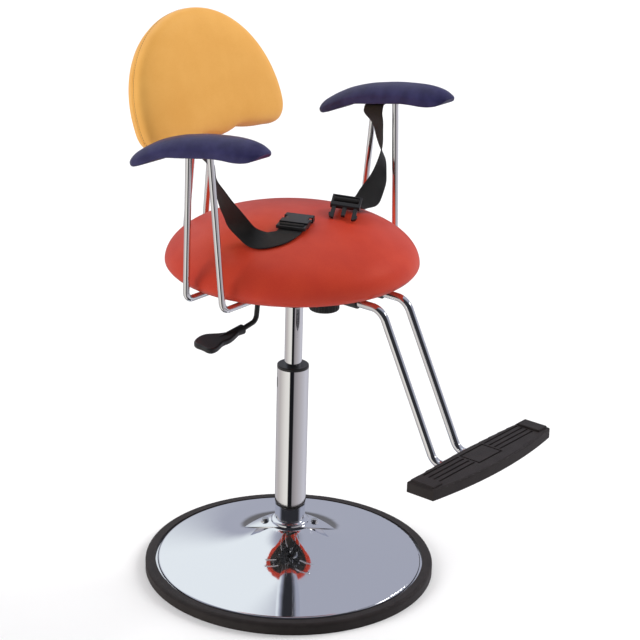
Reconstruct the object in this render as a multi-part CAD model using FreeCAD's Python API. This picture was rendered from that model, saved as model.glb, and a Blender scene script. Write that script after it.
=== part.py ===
"""Child's salon chair on a gas lift: round seat, arched back, two armrests, lap belt and footrest.

Millimetres. The origin is on the floor at the column's axis, +Z up. The chair faces -Y, so the
footrest is at -Y, the backrest at +Y, and the sitter's right arm, with the lift lever, at -X.
"""
import FreeCAD, Part
import math
import os

Vector = FreeCAD.Vector

# Clearances and overruns
running_gap = 0.06      # radial, a shaft or rod that turns or slides in its hole
soft_gap = 0.3          # foam, vinyl and webbing beside anything else
face_gap = 0.1          # flat faces of pieces that move past each other
overrun = 2.0           # a cutting tool runs this far past the faces it opens

# Base
base_radius = 236.0
trim_height = 18.0
trim_width = 16.5
trim_wall = 10.0
trim_lip_radius = base_radius - trim_width      # its inner edge, where the chrome dish comes into view
trim_wall_radius = base_radius - trim_wall      # the dish's rim sits in the trim's groove out to here
trim_round = 6.0
trim_lip_thickness = 4.0
sheet = 2.0                 # thickness of the spun dish
dish_flat = 7.5             # level border of the dish inside the trim
dish_foot_radius = trim_lip_radius - dish_flat      # the cone starts here
dish_foot_height = 19.5     # top of the dish at that radius
dish_crown_radius = 36.0    # the flat middle
dish_crown_height = 79.0
dish_crown_round = 4.0      # the bend from the flat middle into the flare
dish_flare_share = 0.65     # this much of the rise lies in the flare, the rest in a straight cone
dish_flare_length = 45.0    # over this length the flare loses two thirds of its slope
weight_inset = 12.0
weight_radius = dish_foot_radius - weight_inset
weight_thickness = 12.0
weight_lift = 4.0           # the cast weight hangs this far above the floor
weight_boss_radius = 50.0
underlay_margin = 5.0
underlay_radius = weight_radius + underlay_margin       # rubber sheet under the weight

# Column
tube_radius = 23.0
tube_wall = 1.7
tube_sink = 21.0            # the tube reaches this far below the dish's crown
tube_bottom = dish_crown_height - tube_sink
tube_top = 351.5
cup_thickness = 4.0
sleeve_radius = 25.2
sleeve_rise = 37.0
sleeve_bottom = dish_crown_height + sleeve_rise
groove_width = 3.0          # the dark ring below the sleeve
groove_depth = 1.0
collar_radius = 24.7
collar_foot_radius = 31.0
collar_foot_height = 6.0
flange_length = 146.0
flange_width = 56.0
flange_thickness = 2.5
flange_droop = 14.5         # its wing tips lie this much lower than its middle
flange_droop_power = 1.2
flange_turn = -50.6         # degrees from +X, how the two-bolt flange stands on the base
flange_bolt_pitch = 80.0
bolt_radius = 3.0
bolt_head_radius = 5.5
bolt_head_height = 3.5
bolt_length = 26.0
nut_radius = 5.5
nut_height = 5.0
bush_depth = 44.0           # how far the guide bush reaches down into the tube
cap_height = 5.0            # the bush's flat-topped cap, level with the sleeve's side
cap_bulge = 0.2
cap_round = 1.5
key_width = 7.0             # the bush's snap tab shows in a slot of the sleeve
key_height = 18.0
key_centre_drop = 24.5      # its centre lies this far below the tube's top
key_turn = 140.0            # degrees from +X

# Gas lift
lift_travel = 88.0
cylinder_radius = 14.0
cylinder_wall = 1.5
hub_gap = 13.5              # left between the seat's hub and the bush's cap at full travel
hub_bottom = tube_top + cap_height + lift_travel + hub_gap
hub_length = 34.0
plate = 3.0                 # steel plates under the seat, and the hub's web
cylinder_bottom = 190.0
cylinder_top = hub_bottom + hub_length + plate
cylinder_floor = 10.0
taper_length = 40.0
taper_drop = 0.8            # loss of radius over the taper
valve_length = 47.0         # solid end of the cylinder, above the gas
cavity_top = cylinder_top - valve_length
rod_radius = 4.0
rod_stub = 8.0
rod_bottom = tube_bottom - rod_stub
piston_height = 14.0
piston_lift = 5.0           # the piston's height above the cylinder's floor
piston_centre = cylinder_bottom + cylinder_floor + piston_lift + piston_height / 2
shoulder_radius = 9.0
shoulder_height = 3.5
race_radius = 12.0
race_thickness = 2.0
ball_radius = 1.6
ball_count = 10
ball_circle = 8.2
clip_radius = 8.0
clip_thickness = 2.5
pin_radius = 3.0
pin_depth = 25.0            # length of the release pin inside the cylinder's top
pin_reach = 5.9             # how far it stands out

# Seat
seat_radius = 199.0
seat_shift = 6.0            # the seat's middle lies this far behind the column
mechanism_height = 23.5     # from the gas cylinder's top to the seat board
board_bottom = cylinder_top + mechanism_height
rim_lap = 2.5               # the rim reaches this far below the board
rim_rise = 14.0
dome_height = 77.0
seat_rim_bottom = board_bottom - rim_lap
seat_widest = seat_rim_bottom + rim_rise        # height of the widest line
seat_top = seat_widest + dome_height
rim_depth = 30.5
seat_rim_radius = seat_radius - rim_depth       # inner edge of the rim that wraps the board
seat_dome_power = 2.3
board_gap = 0.5
board_radius = seat_rim_radius - board_gap
board_thickness = 11.8

# Plates and lift mechanism under the seat
carrier_half_width = 75.0
carrier_front = 140.0
carrier_back = 80.0
hub_radius = 20.0
channel_half_length = 62.0
channel_half_width = 17.0
lever_radius = 4.0
lever_height = cylinder_top + pin_reach + lever_radius + face_gap     # axis of its inner run
lever_pivot = 40.0          # the pivot lies this far to the sitter's right of the column
lever_inner_end = 8.0
lever_drop_x = 86.0
lever_drop = 50.0
lever_out_x = 128.0
lever_out_fall = 6.0
lever_bend = 12.0
pivot_radius = 2.5
pivot_boss_radius = 6.0
grip_start = 125.0
grip_neck_end = 195.0       # the tapered neck has sunk into the paddle here
grip_neck_radius = 7.9
grip_tip = 225.0
blade_sink = 1.0            # the paddle's middle lies this far below the rod's end
blade_height = lever_height - lever_drop - lever_out_fall - blade_sink
blade_thickness = 9.0
blade_start = 138.0
blade_half_width = 26.0

# Footrest
step_rod_radius = 6.35
step_rod_x = 30.7
guide_skin = 1.35           # between the rods and the guide's plate
step_rod_height = board_bottom - 2 * plate - guide_skin - step_rod_radius
step_rod_back = 30.0        # its rear end, in front of the column's axis
step_knee = 193.8
step_knee_bend = 28.0
step_ankle = 302.6
step_ankle_height = 288.0
step_ankle_bend = 20.0
step_rod_front = 378.0
cap_thickness = 2.0
sleeve_guide_front = 150.0
sleeve_guide_back = 84.0
sleeve_guide_wall = 3.0
knob_y = 60.0               # in front of the column's axis
knob_radius = 23.8
knob_height = 24.0
knob_play = 0.55            # between the knob's neck and the clamp bar
knob_neck_radius = 12.0
knob_neck = 4.3
knob_edge = 3.0
flute_count = 28
flute_radius = 1.7
stud_radius = 5.0
stud_nut_radius = 9.0
stud_nut_height = 7.0
stud_seat = 8.0             # length of stud held in the knob
clamp_half_length = 42.0
clamp_half_width = 15.0
clamp_thickness = 5.5
knob_top = step_rod_height - step_rod_radius - face_gap - clamp_thickness - knob_play - knob_neck
knob_bottom = knob_top - knob_height
step_half_length = 152.0
step_front = 388.8          # front edge at its ends
step_back = 341.8           # rear edge at its ends
step_front_bow = 13.6
step_back_bow = 5.0
cover_lift = 0.15           # the rubber cover's underside above the rods
step_bottom = step_ankle_height + step_rod_radius + cover_lift
step_thickness = 17.0
step_round = 3.0
step_pad_length = 27.0      # the raised pad at each end
step_pad_rise = 3.0
step_groove = 3.0
step_groove_depth = 2.0
step_panel_half = 30.0      # half length of the middle panel
step_panel_margin = 9.0
step_core_inset = 5.0
step_core_thickness = 4.0
step_screw_x = (58.0, 118.0)

# Armrests
arm_overhang = 22.5
arm_x = seat_radius + arm_overhang
arm_tilt = 10.1             # degrees, rising to the front
arm_rise = 137.0
arm_height = seat_top + arm_rise        # underside at the column's axis
arm_front = 126.0           # half lengths along the tilt
arm_back = 131.0
arm_width = 58.0
arm_thickness = 32.0
strip_half_length = 46.0
strip_half_width = 12.0
post_radius = 5.0
post_run_height = board_bottom - plate - post_radius
post_run_start = 85.0
post_clearance = 6.2        # between the seat's side and a post
post_lean = 10.1            # a post leans out by this much up to the armrest
post_bend_x = seat_radius + post_radius + post_clearance
post_top_x = post_bend_x + post_lean
post_front_y = -36.4        # along the run under the seat
post_back_y = 36.8
post_front_top_y = -18.4
post_back_top_y = 22.4
post_bend = 14.0
arm_plate_start = 80.0
arm_plate_width = 32.0
arm_plate_half_length = 46.0

# Backrest, in its own tilted frame: x across, s up the face, n out of the face
back_tilt = 22.0
back_inset = 25.5
back_y = seat_radius + seat_shift - back_inset
back_rise = 133.5
back_z = seat_top + back_rise
back_radius = 160.5
back_side_drop = 15.0       # the straight sides end this far below the arch's centre
back_bottom = 45.5
back_lobe_x = 113.5         # lowest points of the lower edge
back_notch_x = 42.0         # the two notches beside the middle tongue
back_notch_rise = 10.0
back_corner_x = 150.5       # the rounded corners pass through here
back_corner_s = 37.0
back_middle = 45.0
back_front = 23.0
back_split = -12.0          # where the pad meets the board
back_rear = -19.0
bar_x_top = 21.0
bar_x_bottom = 23.5
bar_low_s = -26.0
bar_high_s = 70.0
bar_clearance = 3.0
bar_foot_y = seat_radius + seat_shift + post_radius + bar_clearance
bar_run_start = 104.0
bar_bend = 16.0
cross_half_width = 45.0
cross_low = 6.0
cross_high = 66.0
back_plate_half_width = 38.0
back_plate_front = 100.0
back_plate_back = 150.0

# Screws
screw_radius = 2.5
screw_head_radius = 4.8
screw_head_height = 2.6
screw_length = 12.0

# Lap belt
web_width = 38.0
web_thickness = 1.7
anchor_washer_radius = 6.5
anchor_washer = 1.2
buckle_width = 46.0
ladder_bar = 2.4            # the bars and slots that hold the webbing
ladder_slot = 5.0
ladder_thickness = 5.0
socket_length = 34.0
socket_thickness = 9.4
socket_wall = 1.8
socket_depth = 28.0
socket_turn = 21.0          # degrees from +X, the way its mouth faces
socket_rise = 5.0           # degrees, mouth up
socket_x = -67.0            # middle of its strap end
socket_y = -44.0
socket_lift = 0.6           # that point above the seat's top
plug_shoulder = 9.0
plug_thickness = 8.5
prong_length = 22.0
prong_width = 6.0
prong_reach = 20.0          # outer face of a side prong from the middle
prong_barb = 2.0
plug_turn = 205.9           # degrees from +X, the way its prongs point
plug_drop = 33.0            # degrees, prongs down
plug_roll = -5.0
plug_x = 64.0               # middle of its strap end
plug_y = -50.0
plug_lift = 23.0            # that point above the seat's top


def turned(wire):
    """Solid of revolution about Z of a closed wire in the XZ plane."""
    return Part.Face(wire).revolve(Vector(0, 0, 0), Vector(0, 0, 1), 360)


def path_edges(start, steps, place):
    """Edges from start on: a step is a corner, or a pair of points for an arc through the first."""
    edges = []
    here = start
    for step in steps:
        if isinstance(step[0], tuple):
            middle, end = step
            edges.append(Part.Arc(place(here), place(middle), place(end)).toShape())
        else:
            end = step
            edges.append(Part.makeLine(place(here), place(end)))
        here = end
    return edges


def section(start, *steps):
    """Closed wire in the XZ plane, for turning."""
    return Part.Wire(path_edges(start, steps, lambda p: Vector(p[0], 0, p[1])))


def plan(start, *steps):
    """Closed face in the XY plane."""
    return Part.Face(Part.Wire(path_edges(start, steps, lambda p: Vector(p[0], p[1], 0))))


def disc(radius, low, high, x=0.0, y=0.0):
    return Part.makeCylinder(radius, high - low, Vector(x, y, low))


def ring(outer, inner, low, high, x=0.0, y=0.0):
    return disc(outer, low, high, x, y).cut(disc(inner, low - overrun, high + overrun, x, y))


def block(x_low, x_high, y_low, y_high, z_low, z_high):
    return Part.makeBox(x_high - x_low, y_high - y_low, z_high - z_low, Vector(x_low, y_low, z_low))


def mirrored(shape):
    """The same piece on the other side of the chair."""
    return shape.mirror(Vector(0, 0, 0), Vector(1, 0, 0))


def turn_z(shape, degrees):
    copy = shape.copy()
    copy.rotate(Vector(0, 0, 0), Vector(0, 0, 1), degrees)
    return copy


def bent_rod(points, radius, bends):
    """Round rod along straight runs, with a tangent arc at each inner point."""
    edges = []
    here = points[0]
    for before, corner, after, bend in zip(points, points[1:], points[2:], bends):
        incoming = (corner - before).normalize()
        outgoing = (after - corner).normalize()
        half_turn = incoming.getAngle(outgoing) / 2
        back_off = bend * math.tan(half_turn)
        start = corner - incoming * back_off
        end = corner + outgoing * back_off
        inward = (outgoing - incoming).normalize()
        middle = corner + inward * (bend / math.cos(half_turn) - bend)
        edges.append(Part.makeLine(here, start))
        edges.append(Part.Arc(start, middle, end).toShape())
        here = end
    edges.append(Part.makeLine(here, points[-1]))
    path = Part.Wire(edges)
    circle = Part.Wire([Part.makeCircle(radius, points[0], points[1] - points[0])])
    return path.makePipeShell([circle], True, False)


def screw(x, y, under_head, up=True, length=screw_length):
    """Pan-head screw along Z: the head lies below under_head when it is driven upwards."""
    if up:
        head = disc(screw_head_radius, under_head - screw_head_height, under_head, x, y)
        return head.fuse(disc(screw_radius, under_head, under_head + length, x, y))
    head = disc(screw_head_radius, under_head, under_head + screw_head_height, x, y)
    return head.fuse(disc(screw_radius, under_head - length, under_head, x, y))


def dish_top(radius):
    """Height of the dish's upper face at a radius between its crown and its foot."""
    if radius <= dish_crown_radius:
        return dish_crown_height
    here, whole = [out * out / (out + dish_crown_round)
                   for out in (radius - dish_crown_radius, dish_foot_radius - dish_crown_radius)]
    flare = (1 - math.exp(-here / dish_flare_length)) / (1 - math.exp(-whole / dish_flare_length))
    fall = dish_flare_share * flare + (1 - dish_flare_share) * here / whole
    return dish_crown_height - (dish_crown_height - dish_foot_height) * fall


def wing_under(radius):
    """Height of the underside of the flange's wings, which droop from the collar to their tips."""
    share = max(radius - collar_foot_radius, 0.0) / (flange_length / 2 - collar_foot_radius)
    return dish_crown_height - flange_droop * share ** flange_droop_power


def dish_curve_edge(offset, inner, outer, height, reverse=False):
    """Smooth edge in the XZ plane that follows a height over the radius, at an offset below it."""
    count = 21
    radii = [inner + (outer - inner) * (i / (count - 1)) ** 1.5 for i in range(count)]
    points = [Vector(r, 0, height(r) - offset) for r in radii]
    if reverse:
        points.reverse()
    curve = Part.BSplineCurve()
    curve.interpolate(points)
    return curve.toShape()


def dish_layer(top_offset, bottom_offset, inner, outer, crown=dish_crown_radius, height=dish_top):
    """Ring whose two faces follow the dish, from one offset below its upper face to another."""
    place = lambda p: Vector(p[0], 0, p[1])
    top = dish_curve_edge(top_offset, crown, outer, height)
    bottom = dish_curve_edge(bottom_offset, crown, outer, height, reverse=True)
    crown_top = dish_crown_height - top_offset
    crown_bottom = dish_crown_height - bottom_offset
    edges = [Part.makeLine(place((inner, crown_bottom)), place((inner, crown_top))),
             Part.makeLine(place((inner, crown_top)), place((crown, crown_top))), top,
             Part.makeLine(top.lastVertex().Point, bottom.firstVertex().Point), bottom,
             Part.makeLine(place((crown, crown_bottom)), place((inner, crown_bottom)))]
    return turned(Part.Wire(edges))


def make_base():
    """Rubber trim, spun chrome dish and the cast weight inside it."""
    groove_low = trim_height - trim_lip_thickness - sheet
    trim = ring(base_radius, dish_foot_radius, 0, trim_height)
    outer_edges = [e for e in trim.Edges
                   if abs(e.BoundBox.ZMax - trim_height) < face_gap and e.BoundBox.XMax > trim_wall_radius]
    trim = trim.makeFillet(trim_round, outer_edges)
    trim = trim.cut(ring(trim_lip_radius, dish_foot_radius - overrun, groove_low, trim_height + overrun))
    trim = trim.cut(ring(trim_wall_radius, dish_foot_radius - overrun, groove_low, groove_low + sheet))

    layer = dish_layer(0, sheet, tube_radius, dish_foot_radius)
    rim_top = groove_low + sheet
    foot_under = dish_foot_height - sheet
    rim = turned(section((dish_foot_radius, foot_under), (dish_foot_radius, dish_foot_height),
                         ((dish_foot_radius + sheet, dish_foot_height - sheet / 3),
                          (dish_foot_radius + 2 * sheet, rim_top)),
                         (trim_wall_radius, rim_top), (trim_wall_radius, groove_low),
                         (dish_foot_radius + sheet, groove_low), (dish_foot_radius, foot_under)))
    dish = layer.fuse(rim).removeSplitter()

    weight_top = weight_lift + weight_thickness
    casting = ring(weight_radius, tube_radius, weight_lift, weight_top)
    boss = ring(weight_boss_radius, tube_radius, weight_lift, dish_crown_height)
    above = dish_layer(-dish_crown_height, sheet, tube_radius - overrun, dish_foot_radius)
    casting = casting.fuse(boss.cut(above)).removeSplitter()
    for x, y in flange_bolt_places():
        casting = casting.cut(disc(bolt_radius, 0, dish_crown_height, x, y))
        casting = casting.cut(disc(nut_radius, 0, bolt_nut_top(), x, y))
        dish = dish.cut(disc(bolt_radius, 0, dish_crown_height + overrun, x, y))
    underlay = disc(underlay_radius, 0, weight_lift)
    return {"base_trim_ring": trim, "base_dish": dish, "base_weight": casting, "base_underlay": underlay}


def flange_bolt_places():
    angle = math.radians(flange_turn)
    reach = flange_bolt_pitch / 2
    return [(side * reach * math.cos(angle), side * reach * math.sin(angle)) for side in (-1, 1)]


def bolt_seat():
    """Height of the flange's upper face under the bolt heads."""
    return wing_under(flange_bolt_pitch / 2 + bolt_head_radius) + flange_thickness + sheet * 3 / 2


def bolt_nut_top():
    return bolt_seat() - bolt_length + nut_height


def make_column():
    """Two-bolt flange with its collar, the inner tube, the chrome sleeve and the guide bush."""
    half_length = flange_length / 2
    half_width = flange_width / 2
    lens = plan((-half_length, 0), ((0, half_width), (half_length, 0)), ((0, -half_width), (-half_length, 0)))
    lens = turn_z(lens.extrude(Vector(0, 0, dish_crown_height + collar_foot_height)), flange_turn)
    flange = dish_layer(-flange_thickness, 0, tube_radius, half_length + overrun, collar_foot_radius,
                        wing_under).common(lens)
    for x, y in flange_bolt_places():
        flange = flange.fuse(disc(bolt_head_radius + sheet, dish_crown_height - 5 * sheet, bolt_seat(), x, y))
    flange = flange.cut(dish_layer(0, dish_crown_height, tube_radius - overrun, dish_foot_radius))
    foot_low = dish_crown_height
    foot_high = foot_low + flange_thickness + collar_foot_height
    collar_top = sleeve_bottom - groove_width
    collar = turned(section((tube_radius, foot_low), (tube_radius, collar_top), (collar_radius, collar_top),
                            (collar_radius, foot_high),
                            ((collar_foot_radius - sheet, foot_high - sheet / 2),
                             (collar_foot_radius, foot_high - collar_foot_height / 2)),
                            (collar_foot_radius, foot_low), (tube_radius, foot_low)))
    flange = flange.fuse(collar).removeSplitter()
    bolts = []
    for x, y in flange_bolt_places():
        flange = flange.cut(disc(bolt_radius, foot_low - 6 * sheet, foot_high, x, y))
        flange = flange.cut(disc(bolt_head_radius + soft_gap, bolt_seat(), foot_high, x, y))
        head = disc(bolt_head_radius, bolt_seat(), bolt_seat() + bolt_head_height, x, y)
        top_edges = [e for e in head.Edges if e.BoundBox.ZMin > bolt_seat() + face_gap and len(e.Vertexes) < 2]
        head = head.makeFillet(bolt_head_height / 2, top_edges)
        shank = disc(bolt_radius, bolt_seat() - bolt_length, bolt_seat(), x, y)
        nut = disc(nut_radius, bolt_nut_top() - nut_height, bolt_nut_top(), x, y)
        bolts.append(head.fuse(shank).fuse(nut).removeSplitter())

    tube_inner = tube_radius - tube_wall
    tube = ring(tube_radius, tube_inner, tube_bottom, tube_top)
    tube = tube.fuse(ring(tube_radius, rod_radius + running_gap, tube_bottom, tube_bottom + cup_thickness))
    sleeve = ring(sleeve_radius, tube_radius, sleeve_bottom, tube_top)
    groove = ring(sleeve_radius - groove_depth, tube_radius, sleeve_bottom - groove_width, sleeve_bottom)
    slot_middle = tube_top - key_centre_drop
    key = block(tube_inner - overrun, sleeve_radius - face_gap, -key_width / 2, key_width / 2,
                slot_middle - key_height / 2, slot_middle + key_height / 2)
    key = turn_z(key.makeFillet(key_width / 3, [e for e in key.Edges if e.BoundBox.XLength > overrun]), key_turn)
    slot = block(tube_inner - overrun, sleeve_radius + overrun, -key_width / 2, key_width / 2,
                 slot_middle - key_height / 2, slot_middle + key_height / 2)
    slot = turn_z(slot.makeFillet(key_width / 3, [e for e in slot.Edges if e.BoundBox.XLength > overrun]), key_turn)
    tube = tube.cut(slot).removeSplitter()
    sleeve = sleeve.cut(slot)

    bore = cylinder_radius + running_gap
    cap_top = tube_top + cap_height
    bulge = sleeve_radius + cap_bulge
    bush = turned(section((bore, tube_top - bush_depth), (bore, cap_top), (bulge - cap_round, cap_top),
                          ((bulge - cap_round * 3 / 10, cap_top - cap_round * 3 / 10),
                           (bulge, cap_top - cap_round)),
                          (bulge, tube_top), (tube_inner, tube_top), (tube_inner, tube_top - bush_depth),
                          (bore, tube_top - bush_depth)))
    bush = bush.fuse(key.cut(disc(bore + face_gap, 0, cap_top))).removeSplitter()
    return {"column_flange": flange, "flange_bolts": Part.makeCompound(bolts), "stand_tube": tube,
            "column_sleeve": sleeve, "groove_ring": groove, "column_bush": bush}


def cylinder_outside():
    """The gas cylinder's outer form, with the taper that locks it in the seat's hub."""
    taper_low = cylinder_top - taper_length
    return turned(section((0, cylinder_bottom), (0, cylinder_top), (cylinder_radius - taper_drop, cylinder_top),
                          (cylinder_radius, taper_low), (cylinder_radius, cylinder_bottom),
                          (0, cylinder_bottom)))


def make_lift():
    """Thrust bearing, piston rod and gas cylinder with its release pin."""
    cup_top = tube_bottom + cup_thickness
    balls_low = cup_top + race_thickness
    balls_high = balls_low + 2 * ball_radius + face_gap
    lower_race = ring(race_radius, rod_radius + running_gap, cup_top, balls_low)
    balls = []
    for index in range(ball_count):
        angle = 2 * math.pi * index / ball_count
        centre = Vector(ball_circle * math.cos(angle), ball_circle * math.sin(angle),
                        balls_low + ball_radius + face_gap / 2)
        balls.append(Part.makeSphere(ball_radius, centre))
    upper_race = ring(race_radius, rod_radius, balls_high, balls_high + race_thickness)
    shoulder_low = balls_high + race_thickness
    rod = disc(rod_radius, rod_bottom, piston_centre)
    rod = rod.fuse(disc(shoulder_radius, shoulder_low, shoulder_low + shoulder_height))
    piston_radius = cylinder_radius - cylinder_wall - running_gap
    piston = disc(piston_radius, piston_centre - piston_height / 2, piston_centre + piston_height / 2)
    rod = rod.fuse(piston).removeSplitter()
    clip_high = tube_bottom - face_gap
    clip = ring(clip_radius, rod_radius, clip_high - clip_thickness, clip_high)

    cylinder = cylinder_outside()
    cavity = disc(cylinder_radius - cylinder_wall, cylinder_bottom + cylinder_floor, cavity_top)
    cylinder = cylinder.cut(cavity)
    cylinder = cylinder.cut(disc(rod_radius + running_gap, cylinder_bottom - overrun, cavity_top))
    cylinder = cylinder.cut(disc(pin_radius + running_gap, cylinder_top - pin_depth - lift_pin_travel(),
                                 cylinder_top + overrun))
    pin = disc(pin_radius, cylinder_top - pin_depth, cylinder_top + pin_reach)
    return {"bearing_lower_race": lower_race, "bearing_balls": Part.makeCompound(balls),
            "bearing_upper_race": upper_race, "piston_rod": rod, "retaining_clip": clip,
            "gas_cylinder": cylinder, "release_pin": pin}


def lift_pin_travel():
    """Room below the release pin, more than the lever can push it."""
    return lever_radius + overrun


def make_seat():
    """Domed cushion over a round board."""
    count = 10
    points = []
    for index in range(count):
        angle = math.pi / 2 * index / (count - 1)
        radius = seat_radius * max(math.cos(angle), 0.0) ** (2 / seat_dome_power)
        points.append(Vector(radius, 0, seat_widest + (seat_top - seat_widest) * math.sin(angle)))
    points[-1].x = 0.0
    dome = Part.BSplineCurve()
    dome.interpolate(points)
    place = lambda p: Vector(p[0], 0, p[1])
    recess_top = board_bottom + board_thickness + soft_gap
    low = seat_rim_bottom
    under_radius = seat_rim_radius + (seat_radius - seat_rim_radius) / 4
    bulge_radius = seat_radius - (seat_radius - seat_rim_radius) * 5 / 16
    under = Part.Arc(place((under_radius, low)),
                     place((bulge_radius, low + (seat_widest - low) * 3 / 11)), place((seat_radius, seat_widest)))
    edges = [Part.makeLine(place((0, seat_top)), place((0, recess_top))),
             Part.makeLine(place((0, recess_top)), place((seat_rim_radius, recess_top))),
             Part.makeLine(place((seat_rim_radius, recess_top)), place((seat_rim_radius, low))),
             Part.makeLine(place((seat_rim_radius, low)), place((under_radius, low))), under.toShape(),
             dome.toShape()]
    cushion = turned(Part.Wire(edges))
    cushion.translate(Vector(0, seat_shift, 0))
    board = disc(board_radius, board_bottom, board_bottom + board_thickness, 0, seat_shift)
    return {"seat_cushion": cushion, "seat_board": board}


def make_carrier():
    """Steel plate under the board, with the lever's channel and the tapered hub."""
    plate_low = board_bottom - plate
    web_high = cylinder_top
    web_low = web_high - plate
    inner = channel_half_width - plate
    carrier = block(-carrier_half_width, carrier_half_width, -carrier_front, carrier_back, plate_low, board_bottom)
    for side in (-1, 1):
        low, high = sorted((side * inner, side * channel_half_width))
        carrier = carrier.fuse(block(-channel_half_length, channel_half_length, low, high, web_low, plate_low))
    carrier = carrier.fuse(block(-channel_half_length, channel_half_length, -inner, inner, web_low, web_high))
    carrier = carrier.fuse(disc(hub_radius, hub_bottom, web_low).cut(block(
        -hub_radius, hub_radius, -hub_radius, hub_radius, web_low, web_high)))
    carrier = carrier.cut(cylinder_outside())
    cross_hole = Part.makeCylinder(pivot_radius, 2 * channel_half_width + 2 * overrun,
                                   Vector(-lever_pivot, -channel_half_width - overrun, lever_height),
                                   Vector(0, 1, 0))
    pivot = Part.makeCylinder(pivot_radius, 2 * channel_half_width + overrun,
                              Vector(-lever_pivot, -channel_half_width - overrun / 2, lever_height),
                              Vector(0, 1, 0))
    return carrier.cut(cross_hole).removeSplitter(), pivot


# The paddle's outline from its neck round the tip: along its length, and across in half widths
blade_shares = ((0.0, 0.18), (0.15, 0.22), (0.31, 0.46), (0.40, 0.70), (0.50, 0.92), (0.65, 0.95), (0.82, 0.76),
                (0.93, 0.47), (0.965, 0.18), (0.97, -0.15), (0.99, -0.50), (1.0, -0.80), (0.96, -1.01),
                (0.87, -1.05), (0.70, -0.88), (0.56, -0.71), (0.42, -0.70), (0.21, -0.52), (0.0, -0.25))


def make_lever():
    """Bent release lever on its pivot, with a moulded paddle grip."""
    start = Vector(lever_inner_end, 0, lever_height)
    top = Vector(-lever_drop_x, 0, lever_height)
    low = Vector(-lever_drop_x - lever_bend / 2, 0, lever_height - lever_drop)
    end = Vector(-lever_out_x, 0, lever_height - lever_drop - lever_out_fall)
    lever = bent_rod([start, top, low, end], lever_radius, [lever_bend, lever_bend])
    boss_half = channel_half_width - plate - soft_gap
    boss = Part.makeCylinder(pivot_boss_radius, 2 * boss_half, Vector(-lever_pivot, -boss_half, lever_height),
                             Vector(0, 1, 0))
    bore = Part.makeCylinder(pivot_radius + running_gap, 2 * boss_half + 2 * overrun,
                             Vector(-lever_pivot, -boss_half - overrun, lever_height), Vector(0, 1, 0))
    lever = lever.fuse(boss).cut(bore).removeSplitter()

    outward = (end - low).normalize()
    neck_start = low + outward * (grip_start - lever_drop_x - lever_bend / 2)
    neck_end = Vector(-grip_neck_end, 0, blade_height)
    neck_axis = neck_end - neck_start
    neck = Part.makeCone(grip_neck_radius, blade_thickness / 3, neck_axis.Length, neck_start, neck_axis)
    long = grip_tip - blade_start
    places = [Vector(-blade_start - long * along, blade_half_width * across, 0) for along, across in blade_shares]
    rim = Part.BSplineCurve()
    rim.interpolate(places)
    outline = Part.Wire([rim.toShape(), Part.makeLine(places[-1], places[0])])
    blade = Part.Face(outline).extrude(Vector(0, 0, blade_thickness))
    blade.translate(Vector(0, 0, blade_height - blade_thickness / 2))
    rims = [e for e in blade.Edges if e.BoundBox.ZLength < face_gap]
    blade = blade.makeFillet(blade_thickness / 3, rims)
    grip = neck.fuse(blade).cut(lever).removeSplitter()
    return {"lever_rod": lever, "lever_grip": grip}


def step_outline(inset):
    """Plan of the footplate: bowed front and rear edges, square ends."""
    x = step_half_length - inset
    front = -step_front + inset
    back = -step_back - inset
    return plan((-x, front), ((0, front - step_front_bow), (x, front)), (x, back),
                ((0, back + step_back_bow), (-x, back)), (-x, front))


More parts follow.
